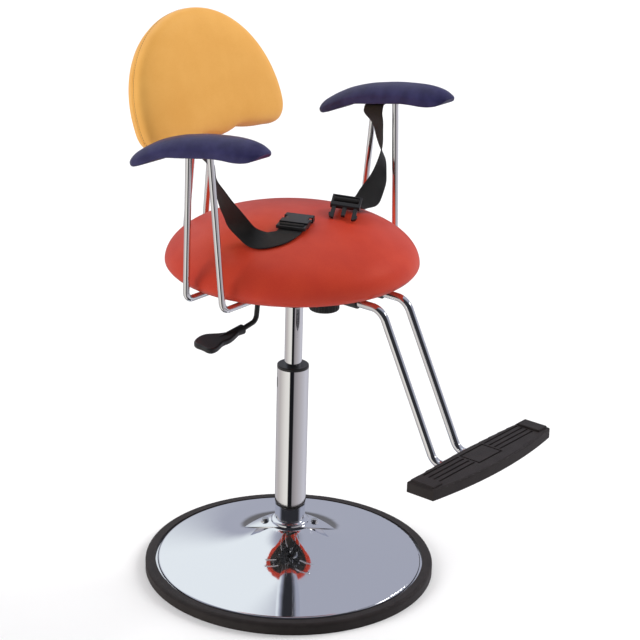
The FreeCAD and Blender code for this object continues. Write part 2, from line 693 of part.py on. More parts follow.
def make_footrest():
    """Two bent rods with end caps, and a ribbed rubber footplate on a steel core."""
    pieces = {}
    ends = []
    for side, name in ((-1, "right"), (1, "left")):
        x = side * step_rod_x
        points = [Vector(x, -step_rod_back, step_rod_height), Vector(x, -step_knee, step_rod_height),
                  Vector(x, -step_ankle, step_ankle_height), Vector(x, -step_rod_front, step_ankle_height)]
        pieces["footrest_rod_" + name] = bent_rod(points, step_rod_radius, [step_knee_bend, step_ankle_bend])
        ends.append(Part.makeCylinder(step_rod_radius, cap_thickness,
                                      Vector(x, -step_rod_front, step_ankle_height), Vector(0, -1, 0)))
    pieces["footrest_end_caps"] = Part.makeCompound(ends)

    core_low = step_ankle_height + step_rod_radius
    core = step_outline(step_core_inset).extrude(Vector(0, 0, step_core_thickness))
    core.translate(Vector(0, 0, core_low))
    top = step_bottom + step_thickness
    cover = step_outline(0).extrude(Vector(0, 0, step_thickness))
    cover.translate(Vector(0, 0, step_bottom))
    tops = [e for e in cover.Edges if e.BoundBox.ZMin > top - face_gap]
    cover = cover.makeFillet(step_round, tops)
    pad_middle = (step_front + step_back) / 2
    pad_half = (step_front - step_back) / 2
    for side in (-1, 1):
        inner = side * (step_half_length - step_pad_length)
        outer = side * (step_half_length - step_round)
        low, high = sorted((inner, outer))
        pad = block(low, high, -pad_middle - pad_half + step_round, -pad_middle + pad_half - step_round,
                    top - step_round, top + step_pad_rise)
        rims = [e for e in pad.Edges if e.BoundBox.ZMax > top + step_pad_rise - face_gap]
        cover = cover.fuse(pad.makeFillet(step_pad_rise * 2 / 3, rims))
    groove_low = top - step_groove_depth
    inner_x = step_panel_half + step_groove
    outer_x = step_half_length - step_pad_length - step_groove
    for side in (-1, 1):
        for row in range(4):
            y = -pad_middle + step_groove + (1.5 - row) * (2 * pad_half - step_panel_margin) / 4
            low, high = sorted((side * inner_x, side * outer_x))
            cover = cover.cut(block(low, high, y - step_groove / 2, y + step_groove / 2, groove_low, top + overrun))
    panel_half_width = pad_half - step_panel_margin / 2
    frame = block(-step_panel_half, step_panel_half, -pad_middle - panel_half_width,
                  -pad_middle + panel_half_width, groove_low, top + overrun)
    island = block(-step_panel_half + step_groove, step_panel_half - step_groove,
                   -pad_middle - panel_half_width + step_groove, -pad_middle + panel_half_width - step_groove,
                   groove_low - overrun, top + 2 * overrun)
    cover = cover.cut(frame.cut(island))
    cover = cover.cut(core)
    screws = []
    for side in (-1, 1):
        for reach in step_screw_x:
            x = side * reach
            fixing = screw(x, -pad_middle, core_low, length=step_thickness / 2)
            screws.append(fixing)
            cover = cover.cut(fixing)
            core = core.cut(fixing)
    pieces["footplate_core"] = core
    pieces["footplate_cover"] = cover.removeSplitter()
    pieces["footplate_screws"] = Part.makeCompound(screws)
    return pieces


def make_clamp():
    """Guide sleeves for the footrest's rods, and the bar and knob that lock them."""
    plate_low = board_bottom - plate
    guide_high = plate_low
    guide_low = guide_high - plate
    sleeve_outer = step_rod_radius + running_gap + sleeve_guide_wall
    guide = block(-step_rod_x - sleeve_outer - plate, step_rod_x + sleeve_outer + plate,
                  -sleeve_guide_front, -step_rod_back - plate, guide_low, guide_high)
    for side in (-1, 1):
        origin = Vector(side * step_rod_x, -sleeve_guide_front, step_rod_height)
        length = sleeve_guide_front - sleeve_guide_back
        guide = guide.fuse(Part.makeCylinder(sleeve_outer, length, origin, Vector(0, 1, 0)))
    guide = guide.fuse(disc(stud_nut_radius, guide_high - plate - stud_nut_height, guide_high, 0, -knob_y))
    for side in (-1, 1):
        origin = Vector(side * step_rod_x, -sleeve_guide_front - overrun, step_rod_height)
        length = sleeve_guide_front - sleeve_guide_back + 2 * overrun
        guide = guide.cut(Part.makeCylinder(step_rod_radius + running_gap, length, origin, Vector(0, 1, 0)))
    guide = guide.cut(disc(stud_radius + running_gap, 0, guide_high + overrun, 0, -knob_y)).removeSplitter()

    bar_high = step_rod_height - step_rod_radius - face_gap
    bar_low = bar_high - clamp_thickness
    bar = block(-clamp_half_length, clamp_half_length, -knob_y - clamp_half_width, -knob_y + clamp_half_width,
                bar_low, bar_high)
    bar = bar.makeFillet(clamp_thickness / 2, [e for e in bar.Edges if e.BoundBox.ZLength > clamp_thickness / 2])
    bar = bar.cut(disc(stud_radius + soft_gap, bar_low - overrun, bar_high + overrun, 0, -knob_y))

    body = disc(knob_radius, knob_bottom, knob_top)
    rims = [e for e in body.Edges if len(e.Vertexes) < 2]
    body = body.makeFillet(knob_edge, rims)
    for index in range(flute_count):
        angle = 2 * math.pi * index / flute_count
        reach = knob_radius + flute_radius / 3
        body = body.cut(disc(flute_radius, knob_bottom - overrun, knob_top + overrun,
                             reach * math.cos(angle), reach * math.sin(angle)))
    knob = body.fuse(disc(knob_neck_radius, knob_top, knob_top + knob_neck))
    stud = disc(stud_radius, knob_top - stud_seat, guide_high - face_gap)
    knob = knob.cut(stud)
    knob.translate(Vector(0, -knob_y, 0))
    stud.translate(Vector(0, -knob_y, 0))
    return {"footrest_guide": guide, "clamp_bar": bar, "clamp_knob": knob, "knob_stud": stud}


def arm_point(along, up, x=0.0):
    """A point of the armrest's own frame: along its tilt towards the front, and square to that."""
    tilt = math.radians(arm_tilt)
    return Vector(x, -along * math.cos(tilt) + up * math.sin(tilt),
                  arm_height + along * math.sin(tilt) + up * math.cos(tilt))


def arm_section(along, width_share, low, high):
    """Cross-section of the armrest: flat underside, short sides and an arched top."""
    half = arm_width / 2 * width_share
    side = low + (high - low) * 2 / 5
    corners = [arm_point(along, low, -half), arm_point(along, side, -half), arm_point(along, side, half),
               arm_point(along, low, half)]
    crown = arm_point(along, high, 0)
    edges = [Part.makeLine(corners[3], corners[0]), Part.makeLine(corners[0], corners[1]),
             Part.Arc(corners[1], crown, corners[2]).toShape(), Part.makeLine(corners[2], corners[3])]
    return Part.Wire(edges)


# Shares of the armrest's half length, its width, and of its thickness for underside and crown
arm_stage_shares = ((-1.000, 0.42, -0.344, -0.125), (-0.954, 0.68, -0.444, 0.056),
                    (-0.879, 0.86, -0.456, 0.225), (-0.778, 0.95, -0.390, 0.400),
                    (-0.653, 0.99, -0.260, 0.580), (-0.508, 1.00, -0.100, 0.747),
                    (-0.347, 1.00, 0.000, 0.863), (-0.176, 1.00, 0.000, 0.944),
                    (0.000, 1.00, 0.000, 0.970), (0.176, 1.00, 0.000, 0.980), (0.347, 1.00, -0.005, 0.950),
                    (0.508, 1.00, -0.047, 0.900), (0.653, 0.99, -0.134, 0.830),
                    (0.778, 0.95, -0.175, 0.725), (0.879, 0.86, -0.156, 0.588),
                    (0.954, 0.68, -0.063, 0.406), (1.000, 0.42, 0.078, 0.234))


def make_arms():
    """Bow-shaped armrests on bent chrome posts that run in under the seat."""
    wires = []
    for share, width_share, low_share, high_share in arm_stage_shares:
        along = share * (arm_front if share > 0 else arm_back)
        wires.append(arm_section(along, width_share, low_share * arm_thickness, high_share * arm_thickness))
    armrest = Part.makeLoft(wires, True, False)
    armrest.translate(Vector(arm_x, 0, 0))

    strip_face = plan((-strip_half_width, -strip_half_length), (strip_half_width, -strip_half_length),
                      (strip_half_width, strip_half_length), (-strip_half_width, strip_half_length),
                      (-strip_half_width, -strip_half_length))
    strip = strip_face.extrude(Vector(0, 0, plate))
    tilt = FreeCAD.Rotation(Vector(1, 0, 0), -arm_tilt)
    strip.Placement = FreeCAD.Placement(Vector(arm_x, 0, arm_height), tilt)
    recess = block(-strip_half_width, strip_half_width, -strip_half_length, strip_half_length, -overrun, plate)
    recess.Placement = strip.Placement
    armrest = armrest.cut(recess)
    screws = []
    for end in (-1, 1):
        place = end * strip_half_length * 7 / 8
        fixing = screw(0, place, 0, length=screw_length)
        fixing.Placement = FreeCAD.Placement(Vector(arm_x, 0, arm_height), tilt)
        screws.append(fixing)
        strip = strip.cut(fixing)
        armrest = armrest.cut(fixing)

    posts = {}
    for name, run_y, top_y in (("front", post_front_y, post_front_top_y), ("rear", post_back_y, post_back_top_y)):
        top_z = arm_height - top_y * math.tan(math.radians(arm_tilt))
        points = [Vector(post_run_start, run_y, post_run_height), Vector(post_bend_x, run_y, post_run_height),
                  Vector(post_top_x, top_y, top_z + post_radius)]
        post = bent_rod(points, post_radius, [post_bend])
        under = block(-arm_width, arm_width, -arm_front, arm_back, 0, arm_thickness)
        under.Placement = FreeCAD.Placement(Vector(arm_x, 0, arm_height), tilt)
        posts[name] = post.cut(under)
    plate_low = board_bottom - plate
    foot = block(arm_plate_start, arm_plate_start + arm_plate_width, -arm_plate_half_length,
                 arm_plate_half_length, plate_low, board_bottom)
    pieces = {}
    for name, change in (("left", lambda s: s), ("right", mirrored)):
        pieces["armrest_" + name] = change(armrest)
        pieces["arm_strip_" + name] = change(strip)
        pieces["arm_post_" + name + "_front"] = change(posts["front"])
        pieces["arm_post_" + name + "_rear"] = change(posts["rear"])
    pieces["armrest_screws"] = Part.makeCompound(screws + [mirrored(s) for s in screws])
    pieces["arm_plates"] = Part.makeCompound([foot, mirrored(foot)])
    return pieces


def back_outline(scale, height):
    """Backrest outline: an arch, short sides, rounded lower corners and a scalloped lower edge."""
    radius = back_radius
    side = -back_side_drop
    bottom = -back_bottom
    notch_top = bottom + back_notch_rise
    steps = [((radius * math.sqrt(0.5), radius * math.sqrt(0.5)), (0, radius)),
             ((-radius * math.sqrt(0.5), radius * math.sqrt(0.5)), (-radius, 0)),
             (-radius, side),
             ((-back_corner_x, -back_corner_s), (-back_lobe_x, bottom)),
             ((-(back_lobe_x + back_notch_x) / 2, bottom + back_notch_rise / 4), (-back_notch_x, notch_top)),
             ((0, bottom + back_notch_rise / 8), (back_notch_x, notch_top)),
             (((back_lobe_x + back_notch_x) / 2, bottom + back_notch_rise / 4), (back_lobe_x, bottom)),
             ((back_corner_x, -back_corner_s), (radius, side)),
             (radius, 0)]
    middle = Vector(0, back_middle, 0)

    def place(point):
        flat = middle + (Vector(point[0], point[1], 0) - middle) * scale
        return Vector(flat.x, flat.y, height)
    return Part.Wire(path_edges((radius, 0), steps, place))


# The pad's profile from the board to its face: share of its depth, and size of the outline
back_stage_shares = ((0.0, 0.972), (0.068, 0.992), (0.187, 1.0), (0.311, 1.0), (0.437, 1.0), (0.561, 0.997),
                     (0.674, 0.986), (0.765, 0.964), (0.832, 0.932), (0.884, 0.888), (0.925, 0.831),
                     (0.957, 0.757), (0.978, 0.666), (0.991, 0.557), (0.998, 0.427))


def back_frame():
    """Placement of the backrest's own frame."""
    return FreeCAD.Placement(Vector(0, back_y, back_z), FreeCAD.Rotation(Vector(1, 0, 0), 90 - back_tilt))


def back_point(x, s, n):
    return back_frame().multVec(Vector(x, s, n))


def make_back():
    """Crowned pad on an arched board, carried by two bent bars from under the seat."""
    depth = back_front - back_split
    wires = [back_outline(scale, back_split + depth * share) for share, scale in back_stage_shares]
    pad = Part.makeLoft(wires, True, False)
    pad.Placement = back_frame()
    board_face = Part.Face(back_outline(back_stage_shares[0][1], back_rear))
    board = board_face.extrude(Vector(0, 0, back_split - soft_gap - back_rear))
    cross = block(-cross_half_width, cross_half_width, cross_low, cross_high, back_rear - plate, back_rear)
    screws = []
    for x in (-cross_half_width * 4 / 5, cross_half_width * 4 / 5):
        for s in (cross_low + screw_head_radius * 2, cross_high - screw_head_radius * 2):
            fixing = screw(x, s, back_rear - plate, length=plate + (back_split - back_rear) * 2 / 3)
            screws.append(fixing)
            cross = cross.cut(fixing)
            board = board.cut(fixing)
    screws = Part.makeCompound(screws)
    for piece in (board, cross, screws):
        piece.Placement = back_frame()
    bar_n = back_rear - plate - post_radius
    bar_low = back_point(bar_x_top, bar_low_s, bar_n)
    bar_high = back_point(bar_x_top, bar_high_s, bar_n)
    foot = Vector(bar_x_bottom, bar_foot_y, post_run_height)
    inner = Vector(bar_x_bottom, bar_run_start, post_run_height)
    bar = bent_rod([inner, foot, bar_low, bar_high], post_radius, [bar_bend, 3 * bar_bend])
    plate_low = board_bottom - plate
    under = block(-back_plate_half_width, back_plate_half_width, back_plate_front, back_plate_back,
                  plate_low, board_bottom)
    return {"backrest_pad": pad, "back_board": board, "back_cross_plate": cross, "back_screws": screws,
            "back_bar_left": bar, "back_bar_right": mirrored(bar), "back_foot_plate": under}


def seat_screw_places():
    """The screws that hold every plate to the seat board."""
    inset = screw_head_radius * 2
    places = []
    for side in (-1, 1):
        for y in (-carrier_front + inset, carrier_back - inset):
            places.append((side * (carrier_half_width - inset), y))
        for y in (-arm_plate_half_length / 3, arm_plate_half_length / 3):
            places.append((side * (arm_plate_start + arm_plate_width / 2), y))
        places.append((side * back_plate_half_width / 4, back_plate_back - inset))
    return places


def strap_solid(stations):
    """Flat webbing through pairs of edge points: four long edges, joined by four sides and two ends."""
    count = len(stations)
    middles = [(one + other) * 0.5 for one, other in stations]
    lengths = [0.0]
    for before, after in zip(middles, middles[1:]):
        lengths.append(lengths[-1] + (after - before).Length)
    lines = [[], [], [], []]
    for index, (one, other) in enumerate(stations):
        before = middles[max(index - 1, 0)]
        after = middles[min(index + 1, count - 1)]
        across = (other - one).normalize()
        normal = across.cross((after - before).normalize()).normalize() * (web_thickness / 2)
        for line, corner in zip(lines, (one + normal, other + normal, other - normal, one - normal)):
            line.append(corner)
    edges = []
    for line in lines:
        curve = Part.BSplineCurve()
        curve.interpolate(Points=line, Parameters=lengths)
        edges.append(curve.toShape())
    faces = [Part.makeRuledSurface(edges[i], edges[(i + 1) % 4], 1) for i in range(4)]
    for end in (0, -1):
        corners = [line[end] for line in lines]
        faces.append(Part.Face(Part.makePolygon(corners + corners[:1])))
    solid = Part.Solid(Part.Shell(faces))
    if solid.Volume < 0:
        solid.reverse()
    return solid


def belt_point(shares):
    """A place of the belt: shares of the arm's reach, the seat's radius and the height between them."""
    across, fore, up = shares
    return Vector(across * arm_x, fore * seat_radius, seat_top + up * (arm_height - seat_top))


def under_arm(across, fore, drop):
    """A place below the armrest's flat underside, drop thicknesses of webbing lower than touching it."""
    y = fore * seat_radius
    tilt = math.radians(arm_tilt)
    below = web_thickness * (0.5 + drop) + soft_gap
    return Vector(across * arm_x, y, arm_height - y * math.tan(tilt) - below / math.cos(tilt))


# The straps' ends turned in under the armrests: both edges, and how far they hang
right_anchor_shares = (
    ((-0.953, 0.143), (-1.016, -0.034), 0.0),
    ((-0.914, 0.126), (-0.977, -0.051), 0.0),
    ((-0.895, 0.118), (-0.958, -0.060), 0.9),
    ((-0.883, 0.111), (-0.950, -0.065), 3.6),
)
left_anchor_shares = (
    ((0.946, 0.146), (1.040, -0.045), 0.2),
    ((0.936, 0.148), (0.950, -0.043), 0.0),
    ((0.925, 0.152), (0.925, -0.039), 0.9),
    ((0.919, 0.155), (0.919, -0.036), 3.6),
)

# Each row is a strap's two edges, from the armrest down to the buckle
right_strap_shares = (
    ((-0.849, 0.080, 0.839), (-0.939, -0.078, 0.898)),
    ((-0.821, 0.059, 0.618), (-0.915, -0.074, 0.745)),
    ((-0.754, 0.090, 0.473), (-0.832, -0.060, 0.591)),
    ((-0.693, 0.108, 0.288), (-0.734, -0.054, 0.420)),
    ((-0.633, 0.119, 0.131), (-0.631, -0.053, 0.253)),
    ((-0.594, 0.101, -0.001), (-0.550, -0.055, 0.115)),
    ((-0.594, 0.010, -0.080), (-0.519, -0.065, 0.058)),
    ((-0.614, -0.126, -0.128), (-0.479, -0.090, 0.007)),
    ((-0.582, -0.226, -0.120), (-0.442, -0.106, -0.022)),
    ((-0.506, -0.291, -0.095), (-0.415, -0.111, -0.036)),
    ((-0.433, -0.322, -0.073), (-0.388, -0.126, -0.033)),
)
left_strap_shares = (
    ((0.921, 0.158, 0.861), (0.910, -0.038, 0.905)),
    ((0.947, 0.114, 0.769), (0.891, -0.061, 0.833)),
    ((0.990, 0.088, 0.593), (0.895, -0.063, 0.664)),
    ((1.002, 0.037, 0.407), (0.876, -0.075, 0.504)),
    ((0.993, -0.015, 0.311), (0.846, -0.069, 0.380)),
    ((0.944, -0.072, 0.199), (0.784, -0.069, 0.248)),
    ((0.844, -0.158, 0.114), (0.691, -0.074, 0.147)),
    ((0.722, -0.226, 0.015), (0.605, -0.085, 0.073)),
    ((0.614, -0.261, -0.055), (0.506, -0.101, 0.007)),
    ((0.519, -0.256, -0.051), (0.420, -0.085, -0.011)),
    ((0.456, -0.271, -0.033), (0.366, -0.101, -0.004)),
)


def buckle_ladder():
    """The end of either buckle half: two bars with slots for the webbing between them."""
    length = 2 * (ladder_bar + ladder_slot)
    half = buckle_width / 2
    ladder = block(0, length + ladder_bar, -half, half, -ladder_thickness / 2, ladder_thickness / 2)
    ends = [e for e in ladder.Edges if e.BoundBox.XMax < face_gap and e.BoundBox.YLength > half]
    ladder = ladder.makeFillet(ladder_bar / 3, ends)
    inside = web_width / 2 + 2 * soft_gap
    for slot in range(2):
        x_low = ladder_bar + slot * (ladder_slot + ladder_bar)
        ladder = ladder.cut(block(x_low, x_low + ladder_slot, -inside, inside, -ladder_thickness, ladder_thickness))
    return ladder


# How the webbing comes up to a buckle half: shares of a slot along it and across its face
socket_approach_shares = ((-1.2, -0.73), (-0.24, -0.73))
plug_approach_shares = ((-1.15, -4.6), (-1.1, -3.4), (-1.0, -2.3), (-0.74, -1.4), (-0.3, -0.88))


def threaded(frame, side, approach):
    """Webbing stations into a buckle half: under its end bar, up, over the next bar and down."""
    off = ladder_thickness / 2 + soft_gap + web_thickness / 2
    bar, slot = ladder_bar, ladder_slot
    path = [(x * slot, z * slot) for x, z in approach]
    path += [(bar * 0.7, -off), (bar + slot * 0.3, -off * 0.8), (bar + slot / 2, 0),
             (bar + slot * 0.7, off * 0.8), (bar * 1.5 + slot, off), (bar * 2 + slot * 1.3, off * 0.8),
             (bar * 2 + slot * 1.5, 0), (bar * 2 + slot * 1.5, -off * 0.6)]
    half = side * web_width / 2
    return [(frame.multVec(Vector(x, half, z)), frame.multVec(Vector(x, -half, z))) for x, z in path]


def make_socket():
    """Female buckle half: hollow body with side windows for the prongs."""
    start = 2 * (ladder_bar + ladder_slot)
    end = start + socket_length
    half = buckle_width / 2
    thick = socket_thickness / 2
    body = block(start, end, -half, half, -thick, thick)
    body = body.makeFillet(socket_wall * 3 / 4, [e for e in body.Edges if e.BoundBox.YLength < face_gap])
    body = body.fuse(buckle_ladder())
    body = body.cut(block(end - socket_depth, end + overrun, -half + socket_wall, half - socket_wall,
                          -thick + socket_wall, thick - socket_wall))
    low_x = end - socket_depth * 3 / 4
    high_x = low_x + socket_depth * 2 / 5
    for side in (-1, 1):
        low, high = sorted((side * (half - 3 * socket_wall), side * (half + overrun)))
        body = body.cut(block(low_x, high_x, low, high, -thick - overrun, thick + overrun))
    return body.removeSplitter()


def make_plug():
    """Male buckle half: ladder, shoulder, two side prongs with barbs and a middle tongue."""
    start = 2 * (ladder_bar + ladder_slot)
    shoulder = start + plug_shoulder
    half = buckle_width / 2
    thick = plug_thickness / 2
    plug = block(start, shoulder, -half, half, -thick, thick)
    plug = plug.makeFillet(thick / 2, [e for e in plug.Edges if e.BoundBox.YLength > half])
    plug = plug.fuse(buckle_ladder())
    tip = shoulder + prong_length
    level = socket_thickness / 2 - socket_wall - 2 * soft_gap
    for side in (-1, 1):
        outline = plan((shoulder - ladder_bar, side * (prong_reach - prong_width)),
                       (shoulder - ladder_bar, side * prong_reach),
                       (tip - prong_length * 2 / 5, side * prong_reach),
                       (tip - prong_length * 2 / 5, side * (prong_reach + prong_barb)),
                       ((tip - prong_length / 8, side * (prong_reach + prong_barb / 2)),
                        (tip, side * (prong_reach - prong_width / 2))),
                       (tip, side * (prong_reach - prong_width)),
                       (shoulder - ladder_bar, side * (prong_reach - prong_width)))
        prong = outline.extrude(Vector(0, 0, 2 * level))
        prong.translate(Vector(0, 0, -level))
        plug = plug.fuse(prong)
    plug = plug.fuse(block(shoulder - ladder_bar, tip - prong_length / 4, -prong_width / 2, prong_width / 2,
                           -level, level))
    return plug.removeSplitter()


def make_belt():
    """Two webbing straps, their screws, and the two halves of a side-release buckle."""
    socket_frame = FreeCAD.Placement(Vector(socket_x, socket_y, seat_top + socket_lift),
                                     FreeCAD.Rotation(socket_turn, -socket_rise, 0))
    plug_frame = FreeCAD.Placement(Vector(plug_x, plug_y, seat_top + plug_lift),
                                   FreeCAD.Rotation(plug_turn, plug_drop, plug_roll))
    pieces = {"buckle_socket": make_socket(), "buckle_plug": make_plug()}
    pieces["buckle_socket"].Placement = socket_frame
    pieces["buckle_plug"].Placement = plug_frame
    screws = []
    straps = (("right", right_anchor_shares, right_strap_shares, socket_frame, -1, socket_approach_shares),
              ("left", left_anchor_shares, left_strap_shares, plug_frame, 1, plug_approach_shares))
    for name, anchor, shares, frame, side, approach in straps:
        stations = [(under_arm(*one, drop), under_arm(*other, drop)) for one, other, drop in anchor]
        stations += [(belt_point(one), belt_point(other)) for one, other in shares]
        strap = strap_solid(stations + threaded(frame, side, approach))
        middle = (stations[0][0] + stations[0][1] + stations[1][0] + stations[1][1]) * 0.25
        tilt = FreeCAD.Rotation(Vector(1, 0, 0), -arm_tilt)
        low = -web_thickness / 2 - soft_gap
        fixing = disc(anchor_washer_radius, low - anchor_washer, low)
        fixing = fixing.fuse(screw(0, 0, low - anchor_washer, length=screw_length))
        fixing.Placement = FreeCAD.Placement(middle, tilt)
        hole = disc(screw_radius + soft_gap, -overrun, overrun)
        hole.Placement = fixing.Placement
        pieces["strap_" + name] = strap.cut(hole)
        screws.append(fixing)
    return pieces, screws


pieces = {}
pieces.update(make_base())
pieces.update(make_column())
pieces.update(make_lift())
pieces.update(make_seat())
pieces["seat_carrier"], pieces["lever_pivot"] = make_carrier()
pieces.update(make_lever())
pieces.update(make_footrest())
pieces.update(make_clamp())
pieces.update(make_arms())
pieces.update(make_back())
belt, strap_screws = make_belt()
pieces.update(belt)
for fixing in strap_screws:
    for holed in ("armrest_right", "armrest_left", "arm_strip_right", "arm_strip_left"):
        pieces[holed] = pieces[holed].cut(fixing)
pieces["strap_screws"] = Part.makeCompound(strap_screws)

seat_screws = []
for screw_x, screw_y in seat_screw_places():
    fixing = screw(screw_x, screw_y, board_bottom - plate, length=plate + board_thickness * 3 / 4)
    seat_screws.append(fixing)
    for holed in ("seat_board", "seat_carrier", "arm_plates", "back_foot_plate"):
        pieces[holed] = pieces[holed].cut(fixing)
pieces["seat_screws"] = Part.makeCompound(seat_screws)

os.makedirs("parts", exist_ok=True)
for name, shape in sorted(pieces.items()):
    shape.exportStep("parts/" + name + ".step")
    box = shape.BoundBox
    print(f"{name:22s} solids {len(shape.Solids)} valid {shape.isValid()} volume {shape.Volume / 1000:.1f} cm3 "
          f"x {box.XMin:.0f}..{box.XMax:.0f} y {box.YMin:.0f}..{box.YMax:.0f} z {box.ZMin:.0f}..{box.ZMax:.0f}")
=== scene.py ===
"""Child's salon chair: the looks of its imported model. Metres, +Z up, the chair faces -Y."""
import math
import bmesh
import bpy
import numpy as np
from mathutils import Matrix, Vector


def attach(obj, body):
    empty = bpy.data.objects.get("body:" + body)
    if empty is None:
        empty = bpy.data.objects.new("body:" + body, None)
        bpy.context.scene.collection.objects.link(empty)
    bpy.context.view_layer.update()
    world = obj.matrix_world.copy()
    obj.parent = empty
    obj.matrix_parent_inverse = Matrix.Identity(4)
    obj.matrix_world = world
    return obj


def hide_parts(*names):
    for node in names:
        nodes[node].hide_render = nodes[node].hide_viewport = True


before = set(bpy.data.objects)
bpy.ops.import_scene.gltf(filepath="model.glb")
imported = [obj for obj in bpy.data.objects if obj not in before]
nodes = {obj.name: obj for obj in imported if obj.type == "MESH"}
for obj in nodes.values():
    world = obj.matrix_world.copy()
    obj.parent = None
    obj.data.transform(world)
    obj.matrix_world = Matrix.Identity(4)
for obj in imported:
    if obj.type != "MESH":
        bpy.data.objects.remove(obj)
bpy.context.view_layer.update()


# The camera stands in front of the chair on the sitter's right, at the height of a
# standing adult's eyes. Its place and lens come from the known width of the gas lift.
camera_turn = math.radians(-50.6)
camera_distance = 2.9127
camera_height = 1.518
camera_pitch = math.radians(20.5)
camera_yaw = camera_turn - math.radians(0.8)
camera_roll = math.radians(1.5)
camera_lens = 110.96
camera_sensor = 36
camera_shift = (0.0003, 0.0024)

forward = Vector((-math.sin(camera_yaw) * math.cos(camera_pitch),
                  math.cos(camera_yaw) * math.cos(camera_pitch), -math.sin(camera_pitch)))
level_right = Vector((math.cos(camera_yaw), math.sin(camera_yaw), 0))
level_up = level_right.cross(forward)
right = level_right * math.cos(camera_roll) + level_up * math.sin(camera_roll)
up = level_up * math.cos(camera_roll) - level_right * math.sin(camera_roll)
camera = bpy.data.objects.new("camera", bpy.data.cameras.new("camera"))
bpy.context.scene.collection.objects.link(camera)
camera.data.lens = camera_lens
camera.data.sensor_width = camera_sensor
camera.data.shift_x, camera.data.shift_y = camera_shift
camera.matrix_world = Matrix((right, up, -forward)).transposed().to_4x4()
camera.location = (math.sin(camera_turn) * camera_distance, -math.cos(camera_turn) * camera_distance,
                   camera_height)
bpy.context.scene.camera = camera
bpy.context.scene.view_settings.view_transform = "Standard"


# The studio is a white floor under large soft lamps. Bare metal shows what surrounds the set:
# a bright wall on the left, a cool grey one on the right, and the dark room before and behind.
class Value:
    """A socket of a node tree. Sums and products of values add Math nodes to the tree."""

    def __init__(self, tree, socket=None):
        self.tree = tree
        self.socket = socket

    def node(self, kind, settings=None, inputs=None, out=0):
        """Adds a node with its settings, then links or values on its sockets."""
        made = self.tree.nodes.new("ShaderNode" + kind)
        for name, setting in (settings or {}).items():
            if name == "stops":
                elements = made.color_ramp.elements
                for place, colour in setting[1:-1]:
                    elements.new(place).color = colour
                for element, (place, colour) in ((elements[0], setting[0]), (elements[-1], setting[-1])):
                    element.position = place
                    element.color = colour
            else:
                setattr(made, name, setting)
        for name, value in (inputs or {}).items():
            if isinstance(value, Value):
                self.tree.links.new(value.socket, made.inputs[name])
            else:
                made.inputs[name].default_value = value
        return Value(self.tree, made.outputs[out] if made.outputs else None)

    def maths(self, operation, one, other=0.0):
        return self.node("Math", {"operation": operation}, {0: one, 1: other})

    def __add__(self, other):
        return self.maths("ADD", self, other)

    __radd__ = __add__

    def __sub__(self, other):
        return self.maths("SUBTRACT", self, other)

    def __rsub__(self, other):
        return self.maths("SUBTRACT", other, self)

    def __mul__(self, other):
        return self.maths("MULTIPLY", self, other)

    __rmul__ = __mul__

    def step(self, low, high):
        """0 below low, 1 above high, and smooth between them."""
        return self.node("MapRange", {"interpolation_type": "SMOOTHSTEP"},
                         {"Value": self, "From Min": low, "From Max": high})

    def blend(self, one, other):
        """Colour one where this value is 0, other where it is 1."""
        return self.node("Mix", {"data_type": "RGBA"}, {0: self, 6: one, 7: other}, out=2)


room = bpy.data.worlds.new("studio")
bpy.context.scene.world = room
room.use_nodes = True
room.node_tree.nodes.clear()
sky = Value(room.node_tree)
looking = sky.node("TexCoord", out="Generated")
facing = Vector((math.sin(camera_turn), -math.cos(camera_turn), 0))
sideways = Vector((-facing.y, facing.x, 0))
towards = sky.node("VectorMath", {"operation": "DOT_PRODUCT"}, {0: looking, 1: facing}, out="Value")
across = sky.node("VectorMath", {"operation": "DOT_PRODUCT"}, {0: looking, 1: sideways}, out="Value")
rise = sky.node("SeparateXYZ", inputs={0: looking}, out="Z")
degrees = 180 / math.pi
front_turn = sky.maths("ARCTAN2", across, towards) * degrees
back_turn = sky.maths("ARCTAN2", across, 0 - towards) * degrees

# What the metal mirrors round the horizon, from behind the chair by the left to behind it again
low_room = sky.node("ValToRGB", {"stops": (
    (0.0, (0.13, 0.13, 0.14, 1)), (0.05, (0.20, 0.19, 0.20, 1)), (0.085, (0.50, 0.48, 0.50, 1)),
    (0.22, (0.52, 0.48, 0.46, 1)), (0.36, (0.80, 0.77, 0.72, 1)), (0.435, (0.86, 0.84, 0.78, 1)),
    (0.45, (0.01, 0.01, 0.012, 1)), (0.52, (0.01, 0.01, 0.012, 1)), (0.535, (0.28, 0.26, 0.27, 1)),
    (0.62, (0.42, 0.39, 0.40, 1)), (0.8, (0.60, 0.59, 0.64, 1)), (0.925, (0.55, 0.54, 0.60, 1)),
    (0.955, (0.20, 0.20, 0.22, 1)), (1.0, (0.13, 0.13, 0.14, 1)))},
    {"Fac": front_turn * (1 / 360) + 0.5})

# And above it: grey walls, a window behind the chair, a soft box at the right, a dark ceiling
wall_grey, window_light = (0.40, 0.415, 0.495, 1), (0.86, 0.91, 0.94, 1)
softbox_light, dark_ceiling = (9.0, 8.8, 8.3, 1), (0.03, 0.03, 0.035, 1)
window = (1 - back_turn.step(-7, 2)) * back_turn.step(-95, -60) * rise.step(0.15, 0.45)
softbox = (front_turn.step(88, 97) * (1 - front_turn.step(108, 118)) * rise.step(0.54, 0.59)
           * (1 - rise.step(0.63, 0.67)))
high_room = softbox.blend(window.blend(wall_grey, window_light), softbox_light)
high_room = towards.step(-0.05, 0.5).blend(high_room, dark_ceiling)
seen = rise.step(-0.04, 0.04).blend(low_room, high_room)
fill = towards.step(-0.3, 0.6).blend((0.56, 0.56, 0.57, 1), (0.40, 0.40, 0.42, 1))
mirrored = sky.node("LightPath", out="Is Glossy Ray")
straight = sky.node("LightPath", out="Is Camera Ray")
backdrop = (1.0, 1.0, 1.0, 1)
